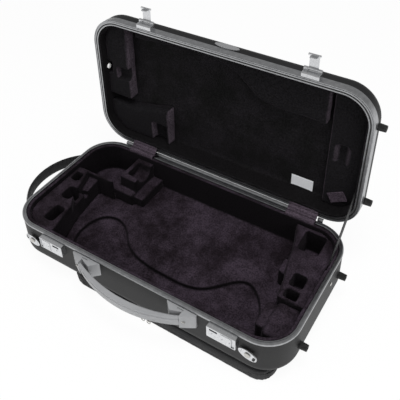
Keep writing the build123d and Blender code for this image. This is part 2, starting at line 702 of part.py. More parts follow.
# Velvet covers over the hinges, from the base lining over the rim and up into the lid
cover_clear = KNUCKLE_R + SOFT_GAP + COVER_T / 2
cover_low = PART_Z - LINING_SET + SOFT_GAP + COVER_T / 2
cover_over = PART_Z + SOFT_GAP + COVER_T / 2 + 0.1
cover_bend = cover_clear * 0.78
cover_path = [(ROOM_Y + 3, cover_low), (BACK_Y - BASE_RIM_WIDTH - 1.4, cover_low),
              (BACK_Y - BASE_RIM_WIDTH + 0.2, cover_over), (HINGE_Y - cover_clear, cover_over),
              (HINGE_Y - cover_bend, PART_Z + cover_bend),
              (HINGE_Y - 0.6, PART_Z + HINGE_OUT + 0.5),
              (HINGE_Y - 0.6, PART_Z + HINGE_OUT + LID_RIM_WIDTH + 2)]
for side, word in ((-1, "left"), (1, "right")):
    with BuildPart() as hinge_cover:
        with BuildSketch(Plane.YZ.offset(at(side, HINGE_X) - COVER_W / 2)):
            with BuildLine():
                Polyline(*cover_path)
            trace(line_width=COVER_T)
        extrude(amount=COVER_W)
    save(hinge_cover, f"hinge_cover_{word}")

# Carrying handle: a bowed grip between two brackets, turning a little on two pins
sag = GRIP_REACH - 5
bow_r = (GRIP_HALF ** 2 + sag ** 2) / (2 * sag)


def bow(x):
    """How far the outer face of the handle stands off the wall at x."""
    return GRIP_REACH - bow_r + sqrt(bow_r ** 2 - x ** 2)


end_in = bow(GRIP_SPAN) - GRIP_END_T
in_sag = GRIP_REACH - GRIP_T - end_in
in_bow_r = (GRIP_SPAN ** 2 + in_sag ** 2) / (2 * in_sag)


def inner_bow(x):
    """How far the inner face of the grip stands off the wall at x."""
    return GRIP_REACH - GRIP_T - in_bow_r + sqrt(in_bow_r ** 2 - x ** 2)


grip_z = PART_Z - GRIP_DEPTH
grip_pin_y = FRONT_Y - bow(GRIP_SPAN) + GRIP_END_T / 2
grip_axis = Axis((0, grip_pin_y, grip_z), (1, 0, 0))
GRIP_END_GAP = 0.6
with BuildPart() as grip:
    with BuildSketch(Plane.XY.offset(grip_z - GRIP_HEIGHT / 2)):
        with BuildLine():
            outer = ThreePointArc((at(-1, GRIP_SPAN), FRONT_Y - bow(GRIP_SPAN)),
                                  (MID_X, FRONT_Y - GRIP_REACH),
                                  (at(1, GRIP_SPAN), FRONT_Y - bow(GRIP_SPAN)))
            inner = ThreePointArc((at(-1, GRIP_SPAN), FRONT_Y - end_in),
                                  (MID_X, FRONT_Y - GRIP_REACH + GRIP_T),
                                  (at(1, GRIP_SPAN), FRONT_Y - end_in))
            Line(outer @ 0, inner @ 0)
            Line(outer @ 1, inner @ 1)
        make_face()
    extrude(amount=GRIP_HEIGHT)
    long_edges = grip.edges().filter_by(GeomType.CIRCLE)
    fillet(long_edges, 2.5)
    with BuildSketch(Plane.XY.offset(grip_z + GRIP_HEIGHT / 2 - SEAM_DOWN)) as seam:
        with Locations((MID_X, FRONT_Y - GRIP_REACH + bow_r)):
            Circle(bow_r + SEAM_D)
            Circle(bow_r - SEAM_D, mode=Mode.SUBTRACT)
    extrude(seam.sketch, amount=SEAM_W, mode=Mode.SUBTRACT)
    for side in (-1, 1):
        with BuildSketch(Plane.YZ.offset(at(side, GRIP_SPAN))):
            with Locations((grip_pin_y, grip_z)):
                Circle(GRIP_PIN_R + PIN_RUN)
        extrude(amount=-side * (GRIP_PIN_L / 2 + 1), mode=Mode.SUBTRACT)
grip.part = grip.part.rotate(grip_axis, GRIP_DROP)
save(grip, "grip")

with BuildPart() as grip_pins:
    for side in (-1, 1):
        with BuildSketch(Plane.YZ.offset(at(side, GRIP_SPAN) - GRIP_PIN_L / 2)):
            with Locations((grip_pin_y, grip_z)):
                Circle(GRIP_PIN_R)
        extrude(amount=GRIP_PIN_L)
save(grip_pins, "grip_pins")


def handle_bracket(side):
    """Wedge-shaped bracket on the wall; its front carries on the bow of the grip."""
    step_x = GRIP_SPAN + GRIP_END_GAP
    arc_x = (BRACKET_OUT + step_x) / 2
    nose_x = BRACKET_IN + 16
    mid_x = (nose_x + step_x) / 2
    with BuildPart() as bracket:
        with BuildSketch(Plane.XY.offset(grip_z - BRACKET_H / 2)):
            with BuildLine():
                Polyline((at(side, nose_x), FRONT_Y - inner_bow(nose_x) + GRIP_CLEAR),
                         (at(side, BRACKET_IN), FRONT_Y), (at(side, BRACKET_OUT), FRONT_Y),
                         (at(side, BRACKET_OUT), FRONT_Y - bow(BRACKET_OUT)))
                ThreePointArc((at(side, BRACKET_OUT), FRONT_Y - bow(BRACKET_OUT)),
                              (at(side, arc_x), FRONT_Y - bow(arc_x)),
                              (at(side, step_x), FRONT_Y - bow(step_x)))
                Line((at(side, step_x), FRONT_Y - bow(step_x)),
                     (at(side, step_x), FRONT_Y - inner_bow(step_x) + GRIP_CLEAR))
                ThreePointArc((at(side, step_x), FRONT_Y - inner_bow(step_x) + GRIP_CLEAR),
                              (at(side, mid_x), FRONT_Y - inner_bow(mid_x) + GRIP_CLEAR),
                              (at(side, nose_x), FRONT_Y - inner_bow(nose_x) + GRIP_CLEAR))
            make_face()
        extrude(amount=BRACKET_H)
        with BuildSketch(Plane.YZ.offset(at(side, step_x))):
            with Locations((grip_pin_y, grip_z)):
                Circle(GRIP_PIN_R + PIN_RUN)
        extrude(amount=side * (GRIP_PIN_L / 2 + 1), mode=Mode.SUBTRACT)
        with BuildSketch(Plane.XY.offset(grip_z + BRACKET_H / 2)):
            with Locations((at(side, mid_x + 6), FRONT_Y - 5)):
                SlotOverall(14, 3)
        extrude(amount=-2.5, mode=Mode.SUBTRACT)
    return bracket


for side, word in ((-1, "left"), (1, "right")):
    save(handle_bracket(side), f"handle_bracket_{word}")

# Strap anchors: a boss on the wall with a domed rivet, and an oval plate with an eye that swivels on it
anchor_z = PART_Z - ANCHOR_DEPTH
BOSS_T = 3.0
ANCHOR_PIN_R = 3.0
ANCHOR_HEAD_R = 6.0
ANCHOR_HEAD_T = 1.8
anchor_plate_y = FRONT_Y - BOSS_T - SLIDER_CLEAR


def anchor_rivet(side):
    """Boss, shank and head of one anchor, one turned piece."""
    with BuildPart() as rivet:
        with BuildSketch(Plane.XZ.offset(-FRONT_Y + BOSS_T)):
            with Locations((side * ANCHOR_X, anchor_z)):
                Circle(ANCHOR_R)
        extrude(amount=-2 * BOSS_T)
        tray(anchor_z - 2 * ANCHOR_R, anchor_z + 2 * ANCHOR_R, 0, mode=Mode.SUBTRACT)
        with BuildSketch(Plane.XZ.offset(-FRONT_Y + BOSS_T)):
            with Locations((side * ANCHOR_X, anchor_z)):
                Circle(ANCHOR_PIN_R)
        extrude(amount=ANCHOR_T + 2 * SLIDER_CLEAR)
        with BuildSketch(Plane.XZ.offset(-anchor_plate_y + ANCHOR_T + SLIDER_CLEAR)):
            with Locations((side * ANCHOR_X, anchor_z)):
                Circle(ANCHOR_HEAD_R)
        extrude(amount=ANCHOR_HEAD_T)
        fillet(rivet.faces().sort_by(Axis.Y)[0].edges(), ANCHOR_HEAD_T / 2)
    return rivet


def anchor_plate(side):
    """Oval swivel plate of one strap anchor, its eye pointing outwards and a little down or up."""
    tilt = -ANCHOR_TILT
    with BuildPart() as plate:
        with BuildSketch(Plane.XZ.offset(-anchor_plate_y)):
            with Locations(Location((side * ANCHOR_X, anchor_z), tilt)):
                Ellipse(ANCHOR_HALF_W, ANCHOR_HALF_H)
                Circle(ANCHOR_PIN_R + PIN_RUN, mode=Mode.SUBTRACT)
                with Locations((side * ANCHOR_EYE_AT, 0)):
                    SlotOverall(ANCHOR_EYE_H, ANCHOR_EYE_W, rotation=90, mode=Mode.SUBTRACT)
                hole_x = -side * ANCHOR_EYE_AT
                with Locations((hole_x, -ANCHOR_HOLE_Y), (hole_x, ANCHOR_HOLE_Y)):
                    Circle(ANCHOR_HOLE_R, mode=Mode.SUBTRACT)
        extrude(amount=ANCHOR_T)
    return plate


for side, word in ((-1, "left"), (1, "right")):
    save(anchor_rivet(side), f"anchor_rivet_{word}")
    save(anchor_plate(side), f"anchor_plate_{word}")

# Side handle: an arc of padded webbing between two end caps
side_z = PART_Z - SIDE_DEPTH
cap_x = -END_X - SIDE_END_OUT
with BuildPart() as side_strap:
    with BuildSketch(Plane.XY.offset(side_z - SIDE_H / 2)):
        with BuildLine():
            ThreePointArc((cap_x, SIDE_FRONT), (-END_X - SIDE_REACH, (SIDE_FRONT + SIDE_BACK) / 2),
                          (cap_x, SIDE_BACK))
        trace(line_width=SIDE_T)
        with Locations((cap_x + LENGTH / 2, 0)):
            Rectangle(LENGTH, 2 * WIDTH, mode=Mode.SUBTRACT)
    extrude(amount=SIDE_H)
save(side_strap, "side_strap")

with BuildPart() as side_strap_ends:
    with BuildSketch(Plane.XY.offset(side_z - SIDE_H / 2 - 2)):
        for y in (SIDE_FRONT, SIDE_BACK):
            with Locations((cap_x + SIDE_END_OUT, y)):
                Rectangle(2 * SIDE_END_OUT, SIDE_END_W)
        outline(0, mode=Mode.SUBTRACT)
    extrude(amount=SIDE_H + 4)
save(side_strap_ends, "side_strap_ends")


def foot_at(x, y, z):
    """A tapered rubber foot on the right end, with a recess and a bore for its screw."""
    with BuildSketch(Plane((x, y, z), x_dir=(0, 1, 0), z_dir=(1, 0, 0))) as base_plan:
        Circle(FOOT_R)
    extrude(base_plan.sketch, amount=FOOT_H, taper=3)
    with BuildSketch(Plane((x + FOOT_H, y, z), x_dir=(0, 1, 0), z_dir=(1, 0, 0))) as recess_plan:
        Circle(FOOT_SCREW_R + 0.4)
    extrude(recess_plan.sketch, amount=-FOOT_H / 2, mode=Mode.SUBTRACT)
    with BuildSketch(Plane((x, y, z), x_dir=(0, 1, 0), z_dir=(1, 0, 0))) as bore_plan:
        Circle(FOOT_SCREW_R / 2 + RIM_FIT)
    extrude(bore_plan.sketch, amount=FOOT_H, mode=Mode.SUBTRACT)


def foot_screw_at(x, y, z):
    """The screw in a foot: its head in the recess and its shank to the wall."""
    with BuildSketch(Plane((x, y, z), x_dir=(0, 1, 0), z_dir=(1, 0, 0))) as shank_plan:
        Circle(FOOT_SCREW_R / 2)
    extrude(shank_plan.sketch, amount=FOOT_H / 2)
    with BuildSketch(Plane((x + FOOT_H / 2, y, z), x_dir=(0, 1, 0), z_dir=(1, 0, 0))) as head_plan:
        Circle(FOOT_SCREW_R)
    extrude(head_plan.sketch, amount=2)


with BuildPart() as base_feet:
    for y in FOOT_PLACES:
        foot_at(END_X, y, PART_Z - FOOT_DEPTH)
save(base_feet, "base_feet")
with BuildPart() as base_foot_screws:
    for y in FOOT_PLACES:
        foot_screw_at(END_X, y, PART_Z - FOOT_DEPTH)
save(base_foot_screws, "base_foot_screws")
with BuildPart() as lid_feet:
    for y in FOOT_PLACES:
        foot_at(END_X, y, PART_Z + FOOT_UP)
save_lid(lid_feet, "lid_feet")
with BuildPart() as lid_foot_screws:
    for y in FOOT_PLACES:
        foot_screw_at(END_X, y, PART_Z + FOOT_UP)
save_lid(lid_foot_screws, "lid_foot_screws")

# Webbing strap that stops the lid, pulled straight between its two anchors
strap_x = ROOM_X + SOFT_GAP / 2
base_end = Vector(strap_x, STRAP_BASE_Y, PART_Z - STRAP_BASE_DEPTH)
from_hinge = Vector(0, STRAP_LID_Y - HINGE_Y, STRAP_LID_UP).rotate(Axis.X, -OPEN_ANGLE)
lid_end = Vector(strap_x, HINGE_Y, PART_Z) + from_hinge
run = lid_end - base_end
with BuildPart() as lid_strap:
    with BuildSketch(Plane((base_end + lid_end) * 0.5, x_dir=run.normalized(), z_dir=(1, 0, 0))):
        RectangleRounded(run.length + STRAP_W, STRAP_W, STRAP_W / 4)
    extrude(amount=STRAP_T)
save(lid_strap, "lid_strap")

# Music pocket under the base: a stiffened fabric pocket that takes the shape of the shell
with BuildPart() as shell_form:
    tray(POCKET_DEPTH, PART_Z, 0)
    fillet(shell_form.faces().sort_by(Axis.Z)[0].edges(), EDGE_R)
pocket_mid = ((POCKET_LEFT + POCKET_RIGHT) / 2, (POCKET_BACK - POCKET_FRONT) / 2)
with BuildPart() as music_pocket:
    with BuildSketch():
        with Locations(pocket_mid):
            RectangleRounded(POCKET_RIGHT - POCKET_LEFT, POCKET_BACK + POCKET_FRONT, POCKET_R)
    extrude(amount=POCKET_DEPTH + POCKET_RISE)
    fillet(music_pocket.faces().sort_by(Axis.Z)[0].edges(), POCKET_EDGE_R)
    add(shell_form.part, mode=Mode.SUBTRACT)
save(music_pocket, "music_pocket")

# Zip along the front of the pocket, with two sliders and their ring pulls
zip_left = POCKET_LEFT + POCKET_R
zip_right = POCKET_RIGHT - POCKET_R
with BuildPart() as zip_tape:
    with BuildSketch(Plane.XZ.offset(POCKET_FRONT)):
        with Locations(((zip_left + zip_right) / 2, ZIP_Z)):
            Rectangle(zip_right - zip_left, ZIP_H)
    extrude(amount=ZIP_T)
save(zip_tape, "zip_tape")

slider_face = POCKET_FRONT + ZIP_T + SLIDER_CLEAR + ZIP_SLIDER_T
ring_out = slider_face + BAIL_ROOM / 2
ring_top = ZIP_Z + 1.0
for x, word in zip(ZIP_PULLS, ("left", "right")):
    with BuildPart() as zip_slider:
        with BuildSketch(Plane.XZ.offset(slider_face - ZIP_SLIDER_T)):
            with Locations((x, ZIP_Z)):
                RectangleRounded(ZIP_SLIDER_W, ZIP_SLIDER_H, 1.5)
        extrude(amount=ZIP_SLIDER_T)
        with BuildSketch(Plane.YZ.offset(x - BAIL_W / 2)):
            with Locations((-slider_face - (BAIL_ROOM + BAIL_T) / 2, ring_top)):
                Rectangle(BAIL_ROOM + BAIL_T, BAIL_ROOM + 2 * BAIL_T)
            with Locations((-ring_out, ring_top)):
                Rectangle(BAIL_ROOM, BAIL_ROOM, mode=Mode.SUBTRACT)
        extrude(amount=BAIL_W)
    save(zip_slider, f"zip_slider_{word}")
    with BuildPart() as zip_ring:
        with BuildSketch(Plane.XZ.offset(ring_out - ZIP_WIRE / 2)):
            with Locations((x, ring_top - ZIP_RING_R)):
                Circle(ZIP_RING_R + ZIP_WIRE / 2)
                Circle(ZIP_RING_R - ZIP_WIRE / 2, mode=Mode.SUBTRACT)
        extrude(amount=ZIP_WIRE)
    save(zip_ring, f"zip_ring_{word}")

# Badge plate on the lid front and label plate on the lid floor, both bare
with BuildPart() as badge:
    with BuildSketch(Plane.XZ.offset(-FRONT_Y)):
        with Locations((MID_X, PART_Z + BADGE_UP)):
            Ellipse(BADGE_W / 2, BADGE_H / 2)
    extrude(amount=BADGE_T)
    fillet(badge.faces().sort_by(Axis.Y)[0].edges(), BADGE_T / 3)
save_lid(badge, "badge")

with BuildPart() as label:
    with BuildSketch(Plane.XY.offset(LID_FLOOR_Z)):
        with Locations((right(LABEL_IN), back(LABEL_BACK))):
            RectangleRounded(LABEL_W, LABEL_H, 1)
    extrude(amount=-LABEL_T)
save_lid(label, "label")

# Rivet heads: the strap rivet outside the right wall, and the round rivet inside the lid
with BuildPart() as base_rivet:
    with BuildSketch(Plane.YZ.offset(END_X)):
        with Locations((BASE_RIVET_Y, PART_Z - BASE_RIVET_DEPTH)):
            Circle(RIVET_R)
    extrude(amount=RIVET_HEAD_T)
    fillet(base_rivet.faces().sort_by(Axis.X)[-1].edges(), RIVET_HEAD_T * 0.6)
save(base_rivet, "base_rivet")

with BuildPart() as lid_rivet:
    with BuildSketch(Plane.YZ.offset(-ROOM_X)):
        with Locations((LID_RIVET_Y, PART_Z + LID_RIVET_UP)):
            Circle(RIVET_R * 1.6)
    extrude(amount=RIVET_HEAD_T)
save_lid(lid_rivet, "lid_rivet")
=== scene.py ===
# %% [markdown]
# A hard case for a bassoon, standing open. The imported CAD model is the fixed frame: every
# rigid piece comes from it, and this file gives each one its finish, then builds the soft
# pieces, such as the velvet lining and the webbing, in the places that the CAD holds for them.
# Nothing of the CAD is moved or reshaped, so that the lid, latches and handle still work.

# %% Load the frame
import math

import bpy
from mathutils import Matrix, Vector, noise


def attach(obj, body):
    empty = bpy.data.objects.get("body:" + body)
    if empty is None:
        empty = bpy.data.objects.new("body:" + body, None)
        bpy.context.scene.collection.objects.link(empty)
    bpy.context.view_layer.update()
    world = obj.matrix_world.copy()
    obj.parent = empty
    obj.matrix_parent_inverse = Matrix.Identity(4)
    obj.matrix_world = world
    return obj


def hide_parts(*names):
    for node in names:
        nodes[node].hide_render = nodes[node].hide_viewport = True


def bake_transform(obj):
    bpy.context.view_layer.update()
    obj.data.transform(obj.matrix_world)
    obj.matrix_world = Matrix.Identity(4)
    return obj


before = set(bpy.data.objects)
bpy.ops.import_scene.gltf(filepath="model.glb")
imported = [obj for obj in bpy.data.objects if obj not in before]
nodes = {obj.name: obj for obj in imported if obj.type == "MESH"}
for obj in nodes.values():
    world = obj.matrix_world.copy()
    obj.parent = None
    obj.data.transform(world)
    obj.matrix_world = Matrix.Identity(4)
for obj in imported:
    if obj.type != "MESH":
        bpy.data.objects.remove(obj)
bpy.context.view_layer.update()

# %% [markdown]
# A finish is a small network of shader nodes. It could be an image wrapped round each piece, but
# nodes need no unwrapping and stay sharp at any distance. The same moves make all of them: turn
# a colour's hex value to the linear numbers that light needs, add a node and link it, size a
# pattern from millimetres, and let that pattern lead from one tone of the material to another.

# %% Helpers for finishes


def linear(hex_colour):
    """The linear colour of an sRGB hex value."""
    parts = [int(hex_colour[i:i + 2], 16) / 255 for i in (1, 3, 5)]
    return tuple(c / 12.92 if c <= 0.04045 else ((c + 0.055) / 1.055) ** 2.4 for c in parts) + (1.0,)


def add(tree, kind, inputs=None, **settings):
    """Add a node. inputs gives a value, or another node's output socket, for each input."""
    made = tree.nodes.new(kind)
    for name, value in settings.items():
        setattr(made, name, value)
    for key, value in (inputs or {}).items():
        if isinstance(value, bpy.types.NodeSocket):
            tree.links.new(value, made.inputs[key])
        else:
            made.inputs[key].default_value = value
    return made


def per_metre(millimetres):
    """The Scale of a texture node whose pattern repeats about every so many millimetres."""
    return 1000.0 / millimetres


def new_finish(name):
    """A material with its surface shader, and the place of each point in the object's metres."""
    material = bpy.data.materials.new(name)
    material.use_nodes = True
    tree = material.node_tree
    surface = tree.nodes["Principled BSDF"]
    place = add(tree, "ShaderNodeTexCoord").outputs["Object"]
    return material, tree, surface, place


def two_tone(tree, pattern, first, second, low=0.35, high=0.65):
    """A colour that runs from first to second as a pattern's value goes from low to high."""
    share = add(tree, "ShaderNodeMapRange", {"Value": pattern, "From Min": low, "From Max": high})
    mixed = add(tree, "ShaderNodeMix", {0: share.outputs["Result"], 6: linear(first), 7: linear(second)},
                data_type="RGBA")
    return mixed.outputs[2]


print("white is", linear("#ffffff"), "and a 2 mm weave has scale", per_metre(2))

# %% [markdown]
# Short-pile nylon velvet, glued over foam. The pile lies in patches where hands and the
# instrument have brushed it, so the colour is mottled over a few centimetres. Faces that turn
# away from the given axis take the wall colour instead, which is painted shade that darkens the
# walls, so the colour also follows which way the surface faces. Hair strands could make the pile, but
# at this distance no strand shows, and they would be lost in an export, so noise of two sizes
# stands for it. Real pile is about 0.5 mm; it is drawn at 3 mm, or the picture would not show it.

# %% Velvet
PATCH_MM, PILE_MM = 70, 3


def velvet_finish(name, lit_axis, dark, light, wall):
    """Velvet mottled dark to light on faces along an axis, with one colour of painted shade on the other
    faces.
    """
    material, tree, surface, place = new_finish(name)
    patches = add(tree, "ShaderNodeTexNoise", {"Vector": place, "Scale": per_metre(PATCH_MM), "Detail": 6.0,
                                               "Roughness": 0.68})
    pile = add(tree, "ShaderNodeTexNoise", {"Vector": place, "Scale": per_metre(PILE_MM), "Detail": 2.0,
                                            "Roughness": 0.7})
    mottled = two_tone(tree, patches.outputs["Fac"], dark, light, 0.4, 0.64)
    # Faces that turn across the axis get the wall colour, which is painted shade; faces along it keep the
    # mottle.
    facing = add(tree, "ShaderNodeSeparateXYZ", {0: add(tree, "ShaderNodeTexCoord").outputs["Normal"]})
    flat = add(tree, "ShaderNodeMath", {0: facing.outputs[lit_axis]}, operation="ABSOLUTE").outputs[0]
    unshaded_share = add(tree, "ShaderNodeMapRange", {"Value": flat, "From Min": 0.35, "From Max": 0.95})
    colour = add(tree, "ShaderNodeMix", {0: unshaded_share.outputs["Result"], 6: linear(wall), 7: mottled},
                 data_type="RGBA").outputs[2]
    tips = two_tone(tree, pile.outputs["Fac"], "#a0a0a0", "#ffffff")
    colour = add(tree, "ShaderNodeMix", {0: 1.0, 6: colour, 7: tips}, data_type="RGBA",
                 blend_type="MULTIPLY").outputs[2]
    bump = add(tree, "ShaderNodeBump", {"Height": pile.outputs["Fac"], "Strength": 0.6, "Distance": 0.0012})
    tree.links.new(colour, surface.inputs["Base Color"])
    tree.links.new(bump.outputs["Normal"], surface.inputs["Normal"])
    surface.inputs["Roughness"].default_value = 0.95
    surface.inputs["Sheen Weight"].default_value = 0.12
    surface.inputs["Sheen Roughness"].default_value = 0.4
    surface.inputs["Sheen Tint"].default_value = linear("#8a7f8a")
    surface.inputs["Specular IOR Level"].default_value = 0.1
    print("made", material.name)
    return material


# The last colour of each finish is its wall colour: painted shade on faces across its axis.
velvet = velvet_finish("velvet_short_pile", "Z", "#231d22", "#413842", "#141214")
lid_pile = velvet_finish("velvet_short_pile_lid", "Y", "#191919", "#252326", "#171617")
# The pads' lighter colour on faces along X is painted light on their sides; their other faces keep a dark
# tone near the lid's.
pad_pile_painted_light = velvet_finish("velvet_short_pile_pads_painted_light", "X", "#453e45", "#5a515a", "#1e1d1f")
# The covers' finish is the lining's velvet made lighter all over: painted light, which the hinge covers and
# the tab both take.
cover_pile_painted_light = velvet_finish("velvet_short_pile_covers_painted_light", "X", "#4d424c", "#665a67", "#524852")

# %% [markdown]
# The shell is moulded ABS, and the grain of its mould, eroded by sparks, breaks the highlight
# into a soft sheen. The grain could be cut into the mesh, but it is far thinner than the shell's
# faces, so a bump carries it. Real grain is about 0.3 mm; it is drawn at 1.5 mm, or the picture
# would not show it.

# %% Moulded ABS shell
shell_abs, tree, surface, place = new_finish("abs_moulded_grain")
grain = add(tree, "ShaderNodeTexNoise", {"Vector": place, "Scale": per_metre(1.5), "Detail": 3.0})
tone = add(tree, "ShaderNodeTexNoise", {"Vector": place, "Scale": per_metre(90), "Detail": 2.0})
tree.links.new(two_tone(tree, tone.outputs["Fac"], "#101011", "#161617"), surface.inputs["Base Color"])
bump = add(tree, "ShaderNodeBump", {"Height": grain.outputs["Fac"], "Strength": 0.35, "Distance": 0.0005})
tree.links.new(bump.outputs["Normal"], surface.inputs["Normal"])
surface.inputs["Roughness"].default_value = 0.55
surface.inputs["Specular IOR Level"].default_value = 0.4
print("made", shell_abs.name)

# %% [markdown]
# The rims are extruded aluminium with a satin anodised skin. Anodising keeps the marks of the
# extrusion, so the roughness varies a little, and it turns the metal a mid grey. A bump would
# wrinkle the long highlight that shows how straight the rim is, so only tone and roughness vary.

# %% Anodised aluminium
aluminium, tree, surface, place = new_finish("aluminium_anodised_satin")
lines = add(tree, "ShaderNodeTexNoise", {"Vector": place, "Scale": per_metre(8), "Detail": 4.0})
tree.links.new(two_tone(tree, lines.outputs["Fac"], "#a2a3a5", "#b4b5b7"), surface.inputs["Base Color"])
rough = add(tree, "ShaderNodeMapRange", {"Value": lines.outputs["Fac"], "To Min": 0.3, "To Max": 0.42})
tree.links.new(rough.outputs["Result"], surface.inputs["Roughness"])
surface.inputs["Metallic"].default_value = 1.0
print("made", aluminium.name)

# %% [markdown]
# Latches, hasps, the badge and the anchors for a strap are zinc die castings, tumbled and plated
# in satin chrome. They are lighter than the anodised rims. Tumbling leaves a faint unevenness,
# which a very weak bump shows; a stronger one would look like sand casting.

# %% Satin chrome on zinc
chrome, tree, surface, place = new_finish("zinc_satin_chrome")
tumbled = add(tree, "ShaderNodeTexNoise", {"Vector": place, "Scale": per_metre(2.5), "Detail": 3.0})
tree.links.new(two_tone(tree, tumbled.outputs["Fac"], "#cfd0d2", "#e2e3e5"), surface.inputs["Base Color"])
rough = add(tree, "ShaderNodeMapRange", {"Value": tumbled.outputs["Fac"], "To Min": 0.26, "To Max": 0.4})
tree.links.new(rough.outputs["Result"], surface.inputs["Roughness"])
bump = add(tree, "ShaderNodeBump", {"Height": tumbled.outputs["Fac"], "Strength": 0.08, "Distance": 0.0003})
tree.links.new(bump.outputs["Normal"], surface.inputs["Normal"])
surface.inputs["Metallic"].default_value = 1.0
print("made", chrome.name)

# %% [markdown]
# Pins, rivets, screws, hinge leaves, zip sliders and their rings are steel with a nickel plate.
# It reflects more sharply than the satin parts do, and wear scuffs it in small patches. The
# roughness carries most of them, because scuffs drawn in the colour alone would look like dirt.

# %% Nickel-plated steel
nickel, tree, surface, place = new_finish("steel_nickel_plated")
scuffs = add(tree, "ShaderNodeTexNoise", {"Vector": place, "Scale": per_metre(3), "Detail": 5.0,
                                          "Roughness": 0.7})
tree.links.new(two_tone(tree, scuffs.outputs["Fac"], "#b3b2ae", "#cfcdc8"), surface.inputs["Base Color"])
rough = add(tree, "ShaderNodeMapRange", {"Value": scuffs.outputs["Fac"], "To Min": 0.16, "To Max": 0.34})
tree.links.new(rough.outputs["Result"], surface.inputs["Roughness"])
surface.inputs["Metallic"].default_value = 1.0
print("made", nickel.name)

# %% [markdown]
# The carrying grip and its two brackets are moulded nylon in a silver grey with a little metal
# powder in it. A satin face gives a broad soft highlight, so the finish stays mostly plastic,
# with a quarter of metal for the powder, where full metal would mirror the room.

# %% Moulded nylon grip
grip_nylon, tree, surface, place = new_finish("nylon_moulded_silver_grey")
fine = add(tree, "ShaderNodeTexNoise", {"Vector": place, "Scale": per_metre(1.2), "Detail": 2.0})
cloud = add(tree, "ShaderNodeTexNoise", {"Vector": place, "Scale": per_metre(60), "Detail": 2.0})
tree.links.new(two_tone(tree, cloud.outputs["Fac"], "#98999b", "#a2a3a5"), surface.inputs["Base Color"])
bump = add(tree, "ShaderNodeBump", {"Height": fine.outputs["Fac"], "Strength": 0.12, "Distance": 0.0003})
tree.links.new(bump.outputs["Normal"], surface.inputs["Normal"])
surface.inputs["Roughness"].default_value = 0.42
surface.inputs["Metallic"].default_value = 0.25
print("made", grip_nylon.name)

# %% [markdown]
# The feet and the seal are moulded natural rubber: nearly black, dull, with a faint bloom of
# dust that greys it in patches. One pattern of noise is enough, since the pieces are small.

# %% Rubber
rubber, tree, surface, place = new_finish("rubber_moulded")
bloom = add(tree, "ShaderNodeTexNoise", {"Vector": place, "Scale": per_metre(6), "Detail": 4.0})
dusty = two_tone(tree, bloom.outputs["Fac"], "#161616", "#2b2b2b", 0.4, 0.8)
tree.links.new(dusty, surface.inputs["Base Color"])
surface.inputs["Roughness"].default_value = 0.6
print("made", rubber.name)

# %% [markdown]
# Woven polyester and nylon. Webbing is a heavy weave with a rib about every 2 mm. The pocket's
# cloth, the zip's tape and the label are finer, below 0.5 mm, and are drawn at 0.8 to 1.6 mm so
# that they show. Real threads could be modelled one by one, but they would be far too many, so
# waves along the three axes cross, which gives threads on a face of any direction.

# %% Woven polyester
WAVE_STEP = 6.2832      # with this, one repeat of the wave texture is a raised and a sunk thread


def woven(name, thread_mm, dark, light, roughness=0.85):
    """A plain weave whose threads cross at the given spacing."""
    material, tree, surface, place = new_finish(name)
    scale = per_metre(thread_mm) / WAVE_STEP
    waves = []
    for direction in ("X", "Y", "Z"):
        wave = add(tree, "ShaderNodeTexWave", {"Vector": place, "Scale": scale, "Distortion": 0.6,
                                               "Detail": 1.0}, bands_direction=direction)
        waves.append(wave.outputs["Fac"])
    crossed = add(tree, "ShaderNodeMath", {0: waves[0], 1: waves[1]}, operation="ADD")
    crossed = add(tree, "ShaderNodeMath", {0: crossed.outputs[0], 1: waves[2]}, operation="ADD")
    height = add(tree, "ShaderNodeMath", {0: crossed.outputs[0], 1: 1 / 3}, operation="MULTIPLY").outputs[0]
    tree.links.new(two_tone(tree, height, dark, light, 0.25, 0.75), surface.inputs["Base Color"])
    bump = add(tree, "ShaderNodeBump", {"Height": height, "Strength": 0.5, "Distance": 0.0006})
    tree.links.new(bump.outputs["Normal"], surface.inputs["Normal"])
    surface.inputs["Roughness"].default_value = roughness
    surface.inputs["Sheen Weight"].default_value = 0.1
    return material


webbing = woven("polyester_webbing", 2.4, "#121213", "#2c2c2e")
pocket_cloth = woven("polyester_plain_weave", 1.6, "#0e0e0f", "#1d1d1f", 0.8)
zip_nylon = woven("nylon_zip_tape", 1.2, "#0c0c0d", "#1a1a1c", 0.7)
label_satin = woven("polyester_satin_label", 0.8, "#d9dadd", "#eeeff2", 0.6)
print("made", webbing.name, pocket_cloth.name, zip_nylon.name, label_satin.name)

# %% [markdown]
# Each CAD node takes the finish of its kind, from a list by material that reads like a parts
# list. A name that ends with an underscore stands for the left and the right piece. The nodes of
# label, straps, pocket and zip are replaced by soft pieces further down.

# %% Finish the rigid pieces
FINISHES = [
    (shell_abs, ("base_shell", "lid_shell", "side_strap_ends")),
    (aluminium, ("base_rim", "lid_rim")),
    (chrome, ("latch_body_", "latch_slider_", "hasp_bracket_", "hasp_plate_", "badge", "anchor_plate_")),
    (nickel, ("latch_rivets", "hasp_pin_", "base_hinge_leaves", "lid_hinge_leaves", "hinge_pins", "grip_pins",
              "anchor_rivet_", "base_rivet", "lid_rivet", "zip_slider_", "zip_ring_", "base_foot_screws",
              "lid_foot_screws")),
    (grip_nylon, ("grip", "handle_bracket_")),
    (rubber, ("base_feet", "lid_feet", "lid_seal")),
    (label_satin, ("label",)),
    (webbing, ("side_strap", "lid_strap")),
    (pocket_cloth, ("music_pocket",)),
    (zip_nylon, ("zip_tape",)),
]


def finish_node(name):
    """Give a CAD node the finish that FINISHES names for it, or velvet."""
    material = velvet
    for finish, starts in FINISHES:
        if any(name == start or (start.endswith("_") and name.startswith(start)) for start in starts):
            material = finish
            break
    piece = nodes[name]
    piece.data.materials.clear()
    piece.data.materials.append(material)
    return material.name


